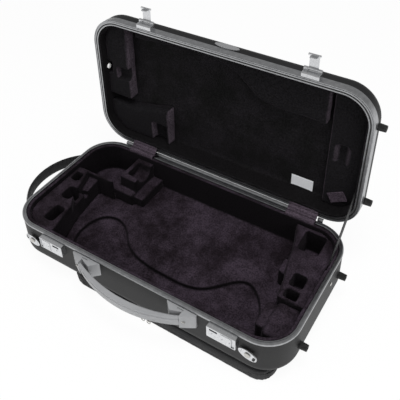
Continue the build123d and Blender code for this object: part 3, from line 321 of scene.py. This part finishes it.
given = [finish_node(name) for name in sorted(nodes)]
print("finished", len(given), "nodes in", len(set(given)), "materials")

# %% [markdown]
# No cast or moulded edge is perfectly sharp, and the thin highlight that runs along it shows
# what the part is made of. The CAD could round every edge, but such small faces slow it down. A
# small bevel modifier gives the same without touching the CAD mesh.

# %% Soften the edges of castings and mouldings
EDGES_MM = {"latch_body_": 0.5, "latch_slider_": 0.35, "hasp_bracket_": 0.4, "hasp_plate_": 0.25,
            "handle_bracket_": 0.9, "grip": 0.6, "anchor_plate_": 0.4, "side_strap_ends": 1.2,
            "lid_feet": 0.7, "base_feet": 0.7}
SHARP_DEG = 40          # edges that turn by more than this are bevelled
for name in sorted(nodes):
    for start, width_mm in EDGES_MM.items():
        if name.startswith(start) and name != "grip_pins":
            edge = nodes[name].modifiers.new("edge", "BEVEL")
            edge.width, edge.segments, edge.limit_method = width_mm / 1000, 2, "ANGLE"
            edge.angle_limit, edge.harden_normals = math.radians(SHARP_DEG), False
print("bevelled", sum(len(piece.modifiers) > 0 for piece in nodes.values()), "nodes")

# %% [markdown]
# The soft pieces start from the space that the CAD solid holds. Foam covered with velvet has
# no sharp edge, so each foam piece is remeshed into even small faces and smoothed, which
# rounds every edge by a few millimetres. Remeshing is used, and not a bevel, because it also
# melts the blocks' inner corners into soft valleys, as glued velvet does.

# %% Helpers for soft pieces
MM = 0.001
Z_PART = 0.123          # height of the parting plane between base and lid
HINGE_Y = 0.166         # the lid turns about the line at this y and Z_PART
OPEN_DEG = 91           # how far the lid stands open at rest
hinge_line = Vector((0, HINGE_Y, Z_PART))
# Takes a point of the closed lid to its place in the open one
LID_TURN = Matrix.Translation(hinge_line) @ Matrix.Rotation(math.radians(-OPEN_DEG), 4, "X") @ \
    Matrix.Translation(-hinge_line)


def new_piece(name, mesh, material):
    """Show a mesh as a smooth piece with one finish."""
    piece = bpy.data.objects.new(name, mesh)
    bpy.context.scene.collection.objects.link(piece)
    mesh.materials.clear()
    mesh.materials.append(material)
    mesh.polygons.foreach_set("use_smooth", [True] * len(mesh.polygons))
    return piece


def settle(piece):
    """Turn a piece's modifiers into its mesh."""
    solved = piece.evaluated_get(bpy.context.evaluated_depsgraph_get())
    piece_mesh = bpy.data.meshes.new_from_object(solved)
    piece.modifiers.clear()
    piece.data = piece_mesh
    piece_mesh.polygons.foreach_set("use_smooth", [True] * len(piece_mesh.polygons))
    return piece


def foam(name, piece_name, voxel_mm, rounds, material=velvet):
    """A remeshed and smoothed copy of a CAD node."""
    copy = nodes[name].data.copy()
    copy.transform(nodes[name].matrix_world)
    piece = new_piece(piece_name, copy, material)
    remesh = piece.modifiers.new("even faces", "REMESH")
    remesh.mode, remesh.voxel_size = "VOXEL", voxel_mm * MM
    smooth = piece.modifiers.new("round edges", "SMOOTH")
    smooth.factor, smooth.iterations = 0.5, rounds
    return settle(piece)


def ripple(piece, size_mm, height_mm, seed=0.0):
    """Push each point along its normal by smooth noise of a given size."""
    normals = [vertex.normal.copy() for vertex in piece.data.vertices]
    for vertex, normal in zip(piece.data.vertices, normals):
        lift = noise.noise(vertex.co / (size_mm * MM) + Vector((seed, seed, seed)))
        vertex.co += normal * lift * height_mm * MM
    return piece


print("the lid stands open", OPEN_DEG, "degrees about", tuple(round(c, 3) for c in hinge_line))

# %% [markdown]
# Velvet pulled over soft foam swells a little between the places where it is glued. Sculpting
# could fake it, but the cloth solver finds the swell that the edges allow: the closed mesh is
# blown up with a small pressure and no gravity, the points that touch the shell stay pinned, and
# no point may move further than the cap.

# %% Swell a padded piece
SOLVE_FRAMES = 20       # frames that are solved; the cap stops what would grow further
GLUED_BASE_Z = Z_PART - 0.070       # foam below this height is glued to the base
GLUED_LID_Y = HINGE_Y + 0.040       # foam behind this place is glued to the open lid


def swell(piece, is_glued, cap_mm, pressure=4.0):
    """Blow a closed piece up by cloth simulation, with glued points held and a cap on the rest."""
    before = [vertex.co.copy() for vertex in piece.data.vertices]
    glued = piece.vertex_groups.new(name="glued")
    glued.add([i for i, co in enumerate(before) if is_glued(co)], 1.0, "REPLACE")
    cloth = piece.modifiers.new("cloth", "CLOTH")
    cloth.settings.vertex_group_mass = "glued"
    cloth.settings.use_pressure, cloth.settings.uniform_pressure_force = True, pressure
    cloth.settings.effector_weights.gravity = 0
    cloth.settings.quality = 5
    cloth.settings.tension_stiffness = cloth.settings.compression_stiffness = 15
    cloth.settings.bending_stiffness = 0.5
    for frame_number in range(1, SOLVE_FRAMES + 1):
        bpy.context.scene.frame_set(frame_number)
    settle(piece)
    bpy.context.scene.frame_set(1)
    moved = 0.0
    for vertex, start in zip(piece.data.vertices, before):
        step = vertex.co - start
        if step.length > cap_mm * MM:
            vertex.co = start + step.normalized() * cap_mm * MM
        moved = max(moved, (vertex.co - start).length)
    piece.vertex_groups.clear()
    print("swelled", piece.name, "by", round(moved / MM, 1), "mm")
    return piece


def in_base_floor(co):
    """True for points on or near the floor of the base."""
    return co.z < GLUED_BASE_Z


def in_lid_floor(co):
    """True for points on or near the floor of the open lid."""
    return co.y > GLUED_LID_Y


print("foam is glued below", round(GLUED_BASE_Z / MM), "mm in the base")

# %% [markdown]
# The two linings are trays of firm foam with velvet drawn over floor, walls and rim edge.
# They are only smoothed and rippled: firm foam under glued cloth hardly swells, so the cloth
# solver would take long and change little.

# %% Linings
LININGS = [
    # body, voxel mm, smoothing rounds, finish, ripple's length mm, its height mm, seed
    ("base", 2.6, 3, velvet, 38, 0.7, 0.0),
    ("lid", 3.2, 4, lid_pile, 45, 0.5, 3.0),
]
for body, voxel_mm, rounds, finish, length_mm, height_mm, seed in LININGS:
    lining = foam(f"{body}_lining", f"{body}_lining_velvet", voxel_mm, rounds, finish)
    ripple(lining, length_mm, height_mm, seed)
    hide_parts(f"{body}_lining")
    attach(lining, body)
    print(lining.name, len(lining.data.vertices), "points")

# %% [markdown]
# The blocks and pads hold the joints of the instrument. Each is its own foam piece with its
# own velvet, so each gets its own mesh, and a seam shows where two of them meet. The high blocks
# of the base are firm and swell little; the cushion and the mound at the right swell more.

# %% Blocks and pads
RIPPLE_LENGTH_MM = 22
PADS = [
    # CAD node, body, voxel mm, smoothing rounds, cap of the swelling mm, ripple height mm, fill
    ("base_left_block", "base", 2.8, 5, 1.2, 0.7, 0.8),
    ("base_saddle_block", "base", 2.8, 5, 1.2, 0.7, 0.8),
    ("base_right_block", "base", 2.8, 5, 1.4, 0.8, 0.8),
    ("base_cushion", "base", 2.6, 8, 4.0, 0.9, 0.6),
    ("base_mound", "base", 2.6, 8, 2.5, 0.6, 0.6),
    ("lid_front_pad", "lid", 3.2, 4, 1.5, 0.6, 0.7),
    ("lid_left_pad", "lid", 2.8, 4, 1.2, 0.5, 0.8),
    ("lid_saddle_pad", "lid", 2.8, 6, 1.5, 0.6, 0.8),
    ("lid_right_pad", "lid", 3.2, 6, 2.0, 0.7, 0.7),
]
# Pads in the lid get the finish with painted light on their sides along X.
for number, (node_name, body, voxel_mm, rounds, cap_mm, height_mm, fill) in enumerate(PADS):
    pad = foam(node_name, node_name + "_velvet", voxel_mm, rounds, pad_pile_painted_light if body == "lid" else velvet)
    swell(pad, in_base_floor if body == "base" else in_lid_floor, cap_mm)
    ripple(pad, RIPPLE_LENGTH_MM, height_mm, number + 1.0)
    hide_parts(node_name)
    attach(pad, body)
    print(pad.name, len(pad.data.vertices), "points")

# %% [markdown]
# Between the hinges and at both back corners an extruded aluminium strip closes the gap behind
# the base rim. Its foot lies on the back wall, and its quarter round stays inside the circle that
# the edge of the lid sweeps about the hinge line, so the lid clears it. A tube could be bent and
# cut open, but an extrusion has one section, so that section is drawn and carried along X.

# %% Strip behind the rims


def extrude_section(name, section, x_from, x_to, material):
    """A bar along X with a closed section of (y, z) points, all in millimetres."""
    count = len(section)
    points = [Vector((x, y, z)) * MM for x in (x_from, x_to) for y, z in section]
    faces = [(i, (i + 1) % count, count + (i + 1) % count, count + i) for i in range(count)]
    faces += [tuple(range(count))[::-1], tuple(range(count, 2 * count))]
    mesh = bpy.data.meshes.new(name)
    mesh.from_pydata(points, [], faces)
    piece = new_piece(name, mesh, material)
    corner = piece.modifiers.new("small edge", "BEVEL")
    corner.width, corner.segments, corner.limit_method = 0.25 * MM, 2, "ANGLE"
    return settle(piece)


ARC_OUT, ARC_IN = 4.75, 3.75        # radii of the quarter round about the hinge line
hinge_y, hinge_z = HINGE_Y / MM, Z_PART / MM
STRIP_FOOT = [(162.4, 112.0), (161.3, 112.0)]
STRIP_RUNS = (("middle", -171.0, 181.0), ("left", -257.0, -235.0), ("right", 245.0, 257.0))
arc = [math.radians(a) for a in range(200, 69, -10)]
strip_section = [(hinge_y + ARC_OUT * math.cos(a), hinge_z + ARC_OUT * math.sin(a)) for a in arc]
strip_section += [(hinge_y + ARC_IN * math.cos(a), hinge_z + ARC_IN * math.sin(a)) for a in reversed(arc)]
strip_section += STRIP_FOOT
for word, x_from, x_to in STRIP_RUNS:
    back_strip = extrude_section(f"back_strip_{word}", strip_section, x_from, x_to, aluminium)
    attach(back_strip, "base")
    print(back_strip.name, x_to - x_from, "mm long")

# %% [markdown]
# A round button sits on the left wall of the lid, inside. It is a turned steel cap, drawn plain
# white in a satin finish: the white is a painted reflection of its bright metal. A squashed sphere
# would lack its upright edge, so it is drawn as half its outline, which is spun round its own axis.
# Its satin gives a soft highlight and little tone.

# %% Button in the lid
painted_reflection_white, tree, surface, place = new_finish("white_cap_painted_reflection")
wear = add(tree, "ShaderNodeTexNoise", {"Vector": place, "Scale": per_metre(5), "Detail": 3.0})
# Near-white colour: a painted reflection of the metal cap.
tree.links.new(two_tone(tree, wear.outputs["Fac"], "#e6e6e4", "#f7f7f6"), surface.inputs["Base Color"])
surface.inputs["Roughness"].default_value = 0.3
PROFILE = [(0.0, 3.0), (3.0, 2.9), (5.2, 2.5), (6.2, 1.8), (6.4, 0.8), (6.4, -1.0)]    # radius, out
BUTTON_AT = Vector((-309.0, -25.0, 145.0))      # in millimetres, with the lid closed
spin, points, faces = 32, [], []
for radius, out in PROFILE:
    for step in range(spin):
        angle = 2 * math.pi * step / spin
        points.append((BUTTON_AT + Vector((out, radius * math.cos(angle), radius * math.sin(angle)))) * MM)
for ring in range(len(PROFILE) - 1):
    low, high = ring * spin, (ring + 1) * spin
    faces += [(low + step, low + (step + 1) % spin, high + (step + 1) % spin, high + step)
              for step in range(spin)]
mesh = bpy.data.meshes.new("lid_button")
mesh.from_pydata([LID_TURN @ point for point in points], [], faces)
button = new_piece("lid_button", mesh, painted_reflection_white)
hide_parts("lid_rivet")
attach(button, "lid")
print("made", button.name)

# %% [markdown]
# Flat textiles, such as the strap that stops the lid and the covers over the hinges, are too
# thin to remesh, and the cloth solver would let them fall off what they are glued to. Each is
# swept instead: a row of points across the cloth is carried along a path, neighbouring rows are
# joined with faces, and the sheet is then given its thickness.

# %% Sweep a strip of cloth


def strip(name, rows, thick_mm, material):
    """A strip of cloth through rows of points, all rows of one length, given a thickness."""
    mesh = bpy.data.meshes.new(name)
    across = len(rows[0])
    faces = [(r * across + c, r * across + c + 1, (r + 1) * across + c + 1, (r + 1) * across + c)
             for r in range(len(rows) - 1) for c in range(across - 1)]
    mesh.from_pydata([point for row in rows for point in row], [], faces)
    piece = new_piece(name, mesh, material)
    thick = piece.modifiers.new("thickness", "SOLIDIFY")
    thick.thickness, thick.offset = thick_mm * MM, 0.0
    edge = piece.modifiers.new("soft edge", "BEVEL")
    edge.width, edge.segments = thick_mm * 0.3 * MM, 2
    return settle(piece)


# %% [markdown]
# Each hinge is hidden under a strip of velvet that is glued to the base lining, runs over the rim
# and is tucked behind the edge of the lid lining. There is more of it than the open lid needs, so
# it lies in three rolls along the hinge, with folds between them.

# %% Covers over the hinges
COVER_W = 66            # along the hinge, in millimetres
COVER_X, HINGES_X = 5, 206          # middle of the case's fittings, and each hinge's distance from it
COVER_T = 1.3
# Each roll: from (y, z), to (y, z), and how far it bulges, in millimetres
ROLLS = [((145.5, 121.2), (156.4, 124.6), 7.4), ((156.4, 124.6), (163.0, 128.6), 5.8),
         ((163.0, 128.6), (164.6, 136.5), 4.0), ((164.6, 136.5), (165.6, 142.5), 0.3)]
ROUNDNESS = 0.55        # below 1, a roll is fuller than a sine wave


def roll_section():
    """Points (y, z) in millimetres of the rolls, from the base lining up into the lid."""
    line = []
    for start, end, bulge in ROLLS:
        start, end = Vector(start), Vector(end)
        run = end - start
        out = Vector((-run.y, run.x)).normalized()
        for step in range(8):
            along = step / 8
            line.append(start + run * along + out * bulge * math.sin(math.pi * along) ** ROUNDNESS)
    line.append(end)
    return line


section = roll_section()
for side, word in ((-1, "left"), (1, "right")):
    middle = COVER_X + side * HINGES_X
    rows = []
    for step in range(23):
        across = step / 22 * 2 - 1
        ends = 1 - abs(across) ** 7 * 0.5
        row = []
        for point in section:
            wave = noise.noise(Vector((across * 1.7 + side * 5, point.x / 5, point.y / 6))) * 0.5
            x = middle + across * COVER_W / 2
            row.append(Vector((x, point.x - wave, point.y - (1 - ends) * 3 + wave)) * MM)
        rows.append(row)
    # The cover takes the lighter copy of the velvet: painted light.
    cover = strip(f"hinge_cover_{word}_velvet", rows, COVER_T, cover_pile_painted_light)
    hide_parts(f"hinge_cover_{word}")
    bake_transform(cover)

# %% [markdown]
# A black webbing strap stops the lid at its open angle. It is riveted to the right wall of the
# base and of the lid, and it is pulled straight while the lid is open, so no cloth solver is
# needed for it. As the lid closes the real strap bends, but here it is one straight piece, attached to
# neither body.

# %% Strap that stops the lid
STRAP_X, STRAP_W, STRAP_T = 308.2, 20.0, 1.4
strap_base = Vector((STRAP_X, 64.0, 85.0)) * MM     # the two rivets
strap_lid = LID_TURN @ (Vector((STRAP_X, 72.0, 145.0)) * MM)
pull = (strap_lid - strap_base).normalized()
across_strap = pull.cross(Vector((1, 0, 0)))
spare = 9 * MM          # webbing beyond the rivet, at each end
rows = []
for step in range(61):
    middle_point = (strap_base - pull * spare).lerp(strap_lid + pull * spare, step / 60)
    rows.append([middle_point + across_strap * STRAP_W * MM * (c / 8 - 0.5)
                 + Vector((-0.5 * MM * math.sin(math.pi * c / 8), 0, 0)) for c in range(9)])
lid_strap = strip("lid_strap_webbing", rows, STRAP_T, webbing)
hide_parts("lid_strap")
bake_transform(lid_strap)
print(lid_strap.name, round((strap_lid - strap_base).length / MM), "mm between rivets")

# %% [markdown]
# The side handle is a folded webbing strap with a soft core, sewn along both edges. Its
# section is a flat lens with a thin lip where the seam runs. A curve with a bevel could carry
# it, but would twist along the arc, so rings of points are placed with their own way out.

# %% Side handle
SIDE_UP = 77.0          # height of its middle line
SIDE_ENDS = (Vector((-338.0, -98.0, SIDE_UP)), Vector((-338.0, 109.0, SIDE_UP)))
SIDE_FAR = -393.0       # x of the point furthest from the case


def arc_point(along):
    """Point in millimetres on the arc of the side handle, and the direction outwards."""
    half = (SIDE_ENDS[1].y - SIDE_ENDS[0].y) / 2
    sag = SIDE_ENDS[0].x - SIDE_FAR
    radius = (half ** 2 + sag ** 2) / (2 * sag)
    centre = Vector((SIDE_FAR + radius, (SIDE_ENDS[0].y + SIDE_ENDS[1].y) / 2, SIDE_UP))
    reach = math.asin(half / radius) if sag < radius else math.pi - math.asin(half / radius)
    angle = -reach + 2 * reach * along
    out = Vector((-math.cos(angle), math.sin(angle), 0))
    return centre + out * radius, out


def handle_section():
    """Closed section of the side handle: (out, up) in millimetres."""
    half_w, half_t, lip_t = 14.0, 2.9, 1.1
    lip_w, core_in = 2.4, 5
    top = [(lip_t, -half_w), (lip_t, -half_w + lip_w), (half_t, -half_w + core_in), (half_t + 0.2, 0),
           (half_t, half_w - core_in), (lip_t, half_w - lip_w), (lip_t, half_w)]
    return top + [(-out, up) for out, up in reversed(top)]


rings = []
for step in range(73):
    centre, out = arc_point(step / 72)
    rings.append([(centre + out * o + Vector((0, 0, u))) * MM for o, u in handle_section()])
mesh = bpy.data.meshes.new("side_handle")
around = len(rings[0])
faces = [(r * around + c, r * around + (c + 1) % around,
          (r + 1) * around + (c + 1) % around, (r + 1) * around + c)
         for r in range(len(rings) - 1) for c in range(around)]
faces += [tuple(range(around))[::-1], tuple(range((len(rings) - 1) * around, len(rings) * around))]
mesh.from_pydata([point for ring in rings for point in ring], [], faces)
side_handle = new_piece("side_handle_webbing", mesh, webbing)
soften = side_handle.modifiers.new("soft edge", "SUBSURF")
soften.levels = soften.render_levels = 1
settle(side_handle)
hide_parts("side_strap")
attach(side_handle, "base")
print(side_handle.name, len(side_handle.data.vertices), "points")

# %% [markdown]
# The music pocket is a bag of polyester cloth under the base, stiffened by a board. Its cloth
# is slack between the seams, so it is remeshed, then blown up a little and creased by noise,
# and welts run round its upper and lower edge where the panels are joined. A welt is a cord
# inside a fold of cloth, so a curve with a round section makes it.

# %% Music pocket
POCKET_TOP, POCKET_BOARD = 0.030, 0.0015        # cloth above and below these heights is held
pocket = foam("music_pocket", "music_pocket_cloth", 4.5, 3, pocket_cloth)
swell(pocket, lambda co: co.z > POCKET_TOP or co.z < POCKET_BOARD, 2.0)
ripple(pocket, 60, 1.2, 9.0)        # slack folds about 60 mm long and 1.2 mm high
for vertex in pocket.data.vertices:
    vertex.co.z = max(vertex.co.z, 0.0)     # the pocket lies on the ground
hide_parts("music_pocket")
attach(pocket, "base")
print(pocket.name, len(pocket.data.vertices), "points")


def welt(name, points, radius_mm, material):
    """A round welt of cloth along a closed line of points in metres."""
    line = bpy.data.curves.new(name, "CURVE")
    line.dimensions, line.bevel_depth, line.bevel_resolution = "3D", radius_mm * MM, 2
    spline = line.splines.new("POLY")
    spline.points.add(len(points) - 1)
    for dot, point in zip(spline.points, points):
        dot.co = (*point, 1.0)
    spline.use_cyclic_u = True
    path = bpy.data.objects.new(name, line)
    bpy.context.scene.collection.objects.link(path)
    tube = bpy.data.meshes.new_from_object(path)
    bpy.data.objects.remove(path)
    return new_piece(name, tube, material)


def rounded_plan(x0, x1, y0, y1, corner, z, steps=10):
    """Points in metres round a rectangle with round corners, all sizes in millimetres."""
    points = []
    for cx, cy, start in ((x1 - corner, y1 - corner, 0), (x0 + corner, y1 - corner, 90),
                          (x0 + corner, y0 + corner, 180), (x1 - corner, y0 + corner, 270)):
        for step in range(steps + 1):
            angle = math.radians(start + 90 * step / steps)
            points.append(Vector((cx + corner * math.cos(angle), cy + corner * math.sin(angle), z)) * MM)
    return points


POCKET_X, POCKET_Y, POCKET_CORNER, WELT_R = (-174, 298), (-156, 142), 34, 1.4
for word, inset, z in (("upper", 0.4, 22.0), ("lower", 2.4, 3.4)):
    plan = rounded_plan(POCKET_X[0] + inset, POCKET_X[1] - inset, POCKET_Y[0] + inset, POCKET_Y[1] - inset,
                        POCKET_CORNER, z)
    seam = welt(f"pocket_welt_{word}", plan, WELT_R, pocket_cloth)
    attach(seam, "base")
    print(seam.name, len(plan), "points in its line")

# %% [markdown]
# The zip has a nylon coil between two strips of tape. The real coil is one thread with a turn
# about every 1.3 mm. Drawn that fine it would be a grey line, so here it has one small low
# capsule for every other turn, and the tape waves a little between its stitches.

# %% Zip
ZIP_LEFT, ZIP_RIGHT, ZIP_Z, ZIP_Y = -140.0, 264.0, 12.0, -156.0
ZIP_STEPS = 162
rows = []
for step in range(ZIP_STEPS + 1):
    x = ZIP_LEFT + (ZIP_RIGHT - ZIP_LEFT) * step / ZIP_STEPS
    rows.append([Vector((x, ZIP_Y - 0.7 - 0.25 * math.sin(x / 4.1) * abs(up) / 5, ZIP_Z + up)) * MM
                 for up in (-5.0, -2.6, 0.0, 2.6, 5.0)])
tape = strip("zip_tape_cloth", rows, 0.8, zip_nylon)
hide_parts("zip_tape")
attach(tape, "base")


def many(name, shape, places, material):
    """One mesh with a copy of a small shape (corners, sides) at each matrix in places."""
    corners, sides = shape
    all_points, all_faces = [], []
    for spot in places:
        start = len(all_points)
        all_points += [spot @ Vector(corner) for corner in corners]
        all_faces += [tuple(start + i for i in side) for side in sides]
    joined = bpy.data.meshes.new(name)
    joined.from_pydata(all_points, [], all_faces)
    return new_piece(name, joined, material)


def capsule(length_mm, width_mm, height_mm, around=8):
    """A low rounded bar along X: the shape of a stitch or of one turn of a zip's coil."""
    corners, sides = [], []
    for share, x in ((0.35, -0.5), (1.0, -0.3), (1.0, 0.3), (0.35, 0.5)):
        for step in range(around):
            angle = 2 * math.pi * step / around
            corners.append((x * length_mm * MM, math.cos(angle) * share * height_mm * MM / 2,
                            math.sin(angle) * share * width_mm * MM / 2))
    for ring in range(3):
        low, high = ring * around, (ring + 1) * around
        sides += [(low + step, low + (step + 1) % around, high + (step + 1) % around, high + step)
                  for step in range(around)]
    sides += [tuple(range(around))[::-1], tuple(range(3 * around, 4 * around))]
    return corners, sides


COIL_PITCH = 2.6
turns = int((ZIP_RIGHT - ZIP_LEFT) / COIL_PITCH)
stand = Matrix.Rotation(math.radians(90), 4, "Y")
middles = [Vector((ZIP_LEFT + (turn + 0.5) * COIL_PITCH, ZIP_Y - 1.2, ZIP_Z)) * MM for turn in range(turns)]
coil = many("zip_coil", capsule(3.4, 1.5, 1.4), [Matrix.Translation(m) @ stand for m in middles], zip_nylon)
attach(coil, "base")
print("zip coil with", turns, "turns")

# %% [markdown]
# Two lines of thread run along the side handle. Stitches drawn as a bump would vanish at the
# edge of the handle, so each is a small low capsule, 3 mm long, that stands on the webbing.

# %% Stitches
thread, tree, surface, place = new_finish("polyester_sewing_thread")
twist = add(tree, "ShaderNodeTexNoise", {"Vector": place, "Scale": per_metre(1.0), "Detail": 1.0})
tree.links.new(two_tone(tree, twist.outputs["Fac"], "#1a1a1b", "#343436"), surface.inputs["Base Color"])
surface.inputs["Roughness"].default_value = 0.6

STITCHES, SEAM_UP, SEAM_OUT = 58, 10.2, 2.75
places = []
for row_up in (-SEAM_UP, SEAM_UP):
    for number in range(STITCHES):
        centre, out = arc_point((number + 0.5) / STITCHES)
        along = Vector((-out.y, out.x, 0))
        turn_to = Matrix((along, out, Vector((0, 0, 1)))).transposed().to_4x4()
        places.append(Matrix.Translation((centre + out * SEAM_OUT + Vector((0, 0, row_up))) * MM) @ turn_to)
handle_stitches = many("side_handle_stitches", capsule(3.0, 0.9, 0.8, 6), places, thread)
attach(handle_stitches, "base")
print("stitches on the side handle", len(places))

# %% [markdown]
# The label in the lid is a bare piece of woven satin, glued on and a little raised at its
# edges. The tab beside it is a doubled piece of velvet that lifts the lid's pad. A flat plate
# would look printed on, so both are grids of points that curl at the edges and ripple a little.

# %% Label and tab in the lid
PATCH_ROWS, PATCH_COLUMNS = 12, 18


def lid_patch(name, middle, width, height, turn_deg, raise_mm, thick_mm, material):
    """A small sheet laid on the lid's lining. Sizes and its closed place are in millimetres."""
    turn = Matrix.Rotation(math.radians(turn_deg), 4, "Z")
    grid = []
    for r in range(PATCH_ROWS + 1):
        row = []
        for c in range(PATCH_COLUMNS + 1):
            u, v = c / PATCH_COLUMNS * 2 - 1, r / PATCH_ROWS * 2 - 1
            lift = raise_mm * (u * u + v * v) / 2 + 0.25 * noise.noise(Vector((u * 2, v * 2, middle[0])))
            flat = turn @ Vector((u * width / 2, v * height / 2, 0))
            row.append(LID_TURN @ ((Vector(middle) + flat - Vector((0, 0, lift))) * MM))
        grid.append(row)
    patch = strip(name, grid, thick_mm, material)
    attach(patch, "lid")
    print(patch.name, width, "by", height, "mm")
    return patch


label = lid_patch("lid_label", (184.0, 128.0, hinge_z + 45.4), 50, 30, 0, 0.4, 0.6, label_satin)
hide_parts("label")
# The tab takes the same lighter copy of the velvet: painted light.
tab = lid_patch("lid_tab_velvet", (269.0, 114.0, hinge_z + 28.2), 38, 24, -30, 1.6, 2.0, cover_pile_painted_light)
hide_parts("lid_tab")

# %% [markdown]
# The floor and the background are white. More lamps would whiten the floor and bleach the case
# too, so instead camera rays see the floor's paint mixed with plain white. It meets the white
# background and still keeps a little of the shadow under the case. Three softboxes, a key from
# above and weaker ones from the side and the front, light the case at a plain level.

# %% Floor, background, lamps
FLOOR_WHITE = 0.94      # share of plain white that the camera sees in the floor
WORLD_LIGHT = 0.38      # strength of the world's light on the case


def camera_white(tree, shader, share):
    """Mix a shader with plain white for camera and glossy rays."""
    path = add(tree, "ShaderNodeLightPath")
    seen = add(tree, "ShaderNodeMath", {0: path.outputs["Is Camera Ray"], 1: path.outputs["Is Glossy Ray"]},
               operation="MAXIMUM")
    seen = add(tree, "ShaderNodeMath", {0: seen.outputs[0], 1: share}, operation="MULTIPLY")
    white = add(tree, "ShaderNodeEmission", {"Color": (1, 1, 1, 1), "Strength": 1.0})
    return add(tree, "ShaderNodeMixShader", {0: seen.outputs[0], 1: shader, 2: white.outputs[0]}).outputs[0]


bpy.ops.mesh.primitive_plane_add(size=40)
floor = bpy.context.object
floor.name = "floor"
floor_paint, tree, surface, place = new_finish("floor_white_paint")
surface.inputs["Base Color"].default_value = linear("#f4f4f4")
surface.inputs["Roughness"].default_value = 0.9
out = tree.nodes["Material Output"]
tree.links.new(camera_white(tree, surface.outputs[0], FLOOR_WHITE), out.inputs["Surface"])
floor.data.materials.append(floor_paint)

world = bpy.data.worlds.new("studio")
bpy.context.scene.world = world
world.use_nodes = True
tree = world.node_tree
background = tree.nodes["Background"]
path = add(tree, "ShaderNodeLightPath")
background.inputs["Color"].default_value = (1, 1, 1, 1)
strength = add(tree, "ShaderNodeMapRange", {"Value": path.outputs["Is Camera Ray"], "To Min": WORLD_LIGHT,
                                            "To Max": 1.0})
tree.links.new(strength.outputs["Result"], background.inputs["Strength"])


def softbox(name, stand_at, target, size, watts):
    """An area lamp that stands at a place in metres and faces a target."""
    lamp = bpy.data.lights.new(name, "AREA")
    lamp.shape, lamp.size, lamp.energy = "SQUARE", size, watts
    holder = bpy.data.objects.new(name, lamp)
    bpy.context.scene.collection.objects.link(holder)
    holder.location = stand_at
    holder.visible_glossy = False
    holder.rotation_euler = (Vector(target) - Vector(stand_at)).to_track_quat("-Z", "Y").to_euler()
    return holder


softbox("key_softbox", (0.5, -0.5, 2.6), (0, 0, 0.1), 0.9, 46)
softbox("side_softbox", (1.9, -1.0, 1.2), (0, 0, 0.2), 0.9, 14)
softbox("fill_softbox", (-1.7, -1.8, 1.0), (0, 0, 0.2), 1.2, 8)
print("three softboxes, and a world of strength", WORLD_LIGHT)

# %% [markdown]
# The camera stands where the photographer stood. It could be moved by eye until the outlines
# meet, but its place was worked out from the corners of the two rims, which are rounded
# rectangles of known size, because then the sizes of all other pieces can be read off too.

# %% Camera
CAMERA_PLACE = (0.53426, -0.71407, 0.9287 + Z_PART)
CAMERA_YAW, CAMERA_PITCH, CAMERA_ROLL = (math.radians(a) for a in (-33.267, -36.531, -1.626))
CAMERA_FOCAL = 608.68      # in pixels of a picture 400 wide
SENSOR_MM = 36.0
PICTURE_SHIFT = -0.2       # the photograph looks down less than its framing does

lens = bpy.data.cameras.new("camera")
lens.sensor_width, lens.lens, lens.shift_y = SENSOR_MM, CAMERA_FOCAL / 400 * SENSOR_MM, PICTURE_SHIFT
camera = bpy.data.objects.new("camera", lens)
bpy.context.scene.collection.objects.link(camera)
ahead = Vector((math.cos(CAMERA_PITCH) * math.sin(CAMERA_YAW), math.cos(CAMERA_PITCH) * math.cos(CAMERA_YAW),
                math.sin(CAMERA_PITCH)))
level = Vector((math.cos(CAMERA_YAW), -math.sin(CAMERA_YAW), 0))
upright = level.cross(ahead)
right = level * math.cos(CAMERA_ROLL) + upright * math.sin(CAMERA_ROLL)
up = upright * math.cos(CAMERA_ROLL) - level * math.sin(CAMERA_ROLL)
camera.matrix_world = Matrix.Translation(CAMERA_PLACE) @ Matrix((right, up, -ahead)).transposed().to_4x4()
bpy.context.scene.camera = camera
bpy.context.scene.view_settings.view_transform = "Standard"
print("the lens is", round(lens.lens, 1), "mm")

# %% Update the scene
bpy.context.view_layer.update()
